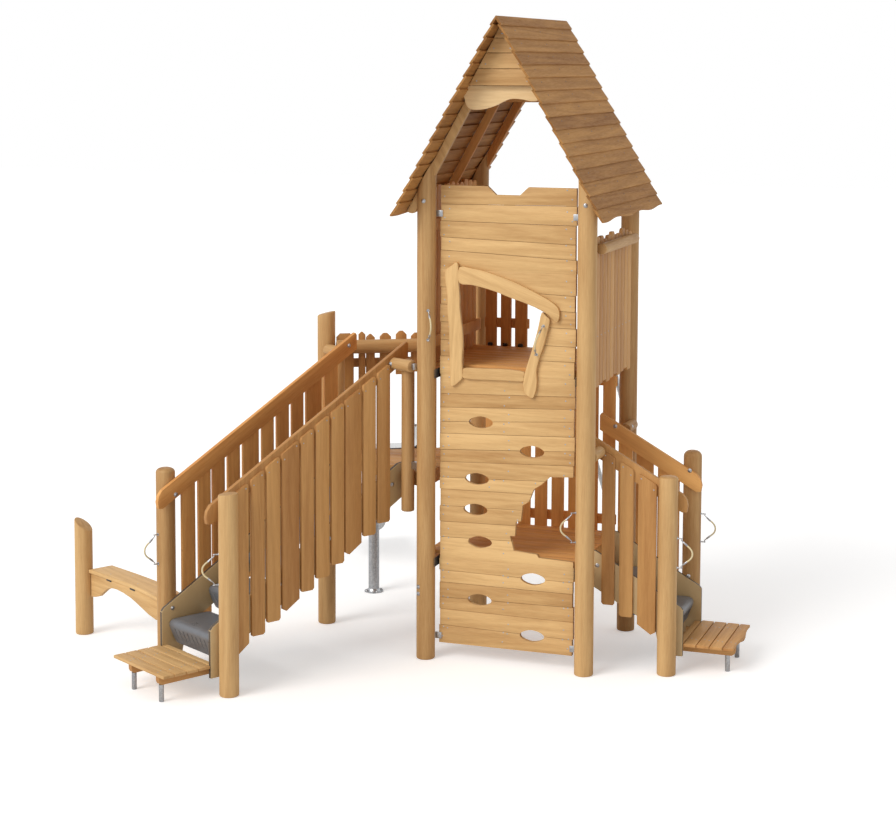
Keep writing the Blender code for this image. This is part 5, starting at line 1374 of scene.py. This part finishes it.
for x in (0.710, 1.100):
    add_tube(work, spline([spot(x, 0, 0) + point for point in corners], 5), BAR_R, 20)
    flange = spot(x, foot_y, 0)
    add_turned(work, flange, (0.0, 0.005, 0.0065), [0.050, 0.050, 0.048], 28)
    bolt_ring(flange + Z * 0.0065, 0.036, (30, 150, 270))
outward(work)
outline = [(0.662, UPPER_Z - 0.088), (1.148, UPPER_Z - 0.088), (1.148, UPPER_Z + 0.008), (0.662, UPPER_Z + 0.008)]
add_board(work, X, Z, outline, -floor_back - PLATE_OUT, -floor_back - 0.0004, X, 0.0)
finish_piece(work, "bars_and_plate", [STAINLESS], slot="steel", replaced=["banister_bars"])
bolts += [(spot(x, floor_back + PLATE_OUT, UPPER_Z - 0.066), Y) for x in (0.69, 0.79, 1.02, 1.12)]
print("bars end", round(foot_y - TOWER, 2), "m behind the tower")

# %% [markdown]
# ## Rope grips
# Each grip is a short arc of rope with a steel ferrule on both ends, held by two eye bolts so
# that it can swing to either side. The rope is laid from three strands that turn round the arc.
# The grip rides on its own body; the eye bolts stay with the tower.


# %% Grips and eye bolts
GRIP_OPEN = 0.230
STRAND_R, LAY_R = 0.0036, 0.0032    # a strand's own radius, and how far it lies from the rope's middle
STEM = 0.034
FERRULE = [(0.016, 0.0880), (0.018, 0.0862), (0.032, 0.0742), (0.045, 0.0630), (0.047, 0.0612)]
HOOK = [(0.0, 0.1085), (0.001, 0.102), (0.007, 0.096), (0.017, 0.087)]
eyes = bmesh.new()
for joint in frame["joints"]:
    name = joint["child"]
    centre = Vector(joint["pos_m"])
    axis = Vector(joint["axis"]).normalized()
    low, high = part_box(name)
    away = (low + high) / 2 - centre
    out = (away - axis * away.dot(axis)).normalized()
    side = axis.cross(out)
    arc = [centre + out * (0.088 - 0.044 * abs(step / 30) ** 2.2) + axis * (0.064 * (step / 30))
           for step in range(-30, 31)]
    rope = bmesh.new()
    for strand in range(3):
        path = []
        for i, point in enumerate(arc):
            angle = 2 * pi * (strand / 3 + i / 9.0)
            lift = side.cross(neighbours(arc, i))
            path.append(point + (side * cos(angle) + lift * sin(angle)) * LAY_R)
        add_tube(rope, path, STRAND_R, 8)
    steel_start = len(rope.faces)
    for end in (-1, 1):
        add_tube(rope, [centre + out * a + axis * (end * b) for a, b in FERRULE],
                 [0.0055, 0.0070, 0.0074, 0.0078, 0.0066], 14)
        add_tube(rope, [centre + out * a + axis * (end * b) for a, b in HOOK], 0.0042, 10)
        way = (out * 0.013 - axis * (end * 0.011)).normalized()
        for a, b in ((0.027, 0.0785), (0.036, 0.0708)):
            middle = centre + out * a + axis * (end * b)
            add_tube(rope, [middle - way * 0.0012, middle, middle + way * 0.0012], [0.0073, 0.0084, 0.0073], 14)
    outward(rope)
    for index, face in enumerate(rope.faces):
        face.material_index = int(index >= steel_start)
    finish_piece(rope, name + "_rope", [ROPE, ZINC], body=name, slot="rope", replaced=[name])
    for end in (-1, 1):
        here = centre + axis * (end * GRIP_OPEN / 2)
        add_tube(eyes, [here - out * (STEM + 0.010), here - out * 0.008], 0.0052, 12)
        add_tube(eyes, [here - out * (STEM - 0.0005), here - out * (STEM - 0.004)], [0.013, 0.012], 18)
        turns = [2 * pi * k / 16 for k in range(17)]
        add_tube(eyes, [here + (out * cos(turn) + side * sin(turn)) * 0.0075 for turn in turns], 0.0034, 8, False)
bmesh.ops.remove_doubles(eyes, verts=eyes.verts, dist=0.00005)
outward(eyes)
finish_piece(eyes, "eye_bolts", [ZINC], slot="steel")

# %% [markdown]
# ## Steel and dark fittings
# Small plates tie the hanging posts to the tall ones, and small dark blocks keep the back planks
# off the floor so that they dry.

# %% Plates and blocks
plates = [(POST_R + 0.0005, 0.157, -0.010, 0.030, 1.500, 1.560),
          (TOWER - 0.157, TOWER - POST_R - 0.0005, -0.010, 0.030, 1.500, 1.560),
          (0.034, 0.066, 0.070, 0.098, STUB_Z - 0.025, STUB_Z + 0.025)]
boards = [(TO_LANDING, DOWN_STAIR, [(low, front), (high, front), (high, back), (low, back)], *levels, Z, 0.0)
          for low, high, front, back, *levels in plates]
boards_piece("hanging_plates", ZINC, boards, 0.003, slot="steel")
turned_piece("dark_spacers", DARK, [spot(x, TOWER - BEAM_FRONT - 0.014, UPPER_Z) for x in (0.137, 0.267, 0.400)],
             (0.0005, 0.004, 0.020, 0.026), [0.019, 0.021, 0.021, 0.014], 20, "dark")
print("plates and spacers set")

# %% Set every screw and bolt
set_heads("screw_heads", screws, SCREW_HEAD, SCREW_STEEL, size=0.9)
set_heads("roof_screw_heads", roof_screws, SCREW_HEAD, ROOF_SCREW, size=0.7)
set_heads("bolt_heads", bolts, BOLT_HEAD, ZINC)

# %% [markdown]
# ## Finish
# The dressed tower has to stay the size of the imported one; at the end the view layer is brought up to date.

# %% Last update
bpy.context.view_layer.update()
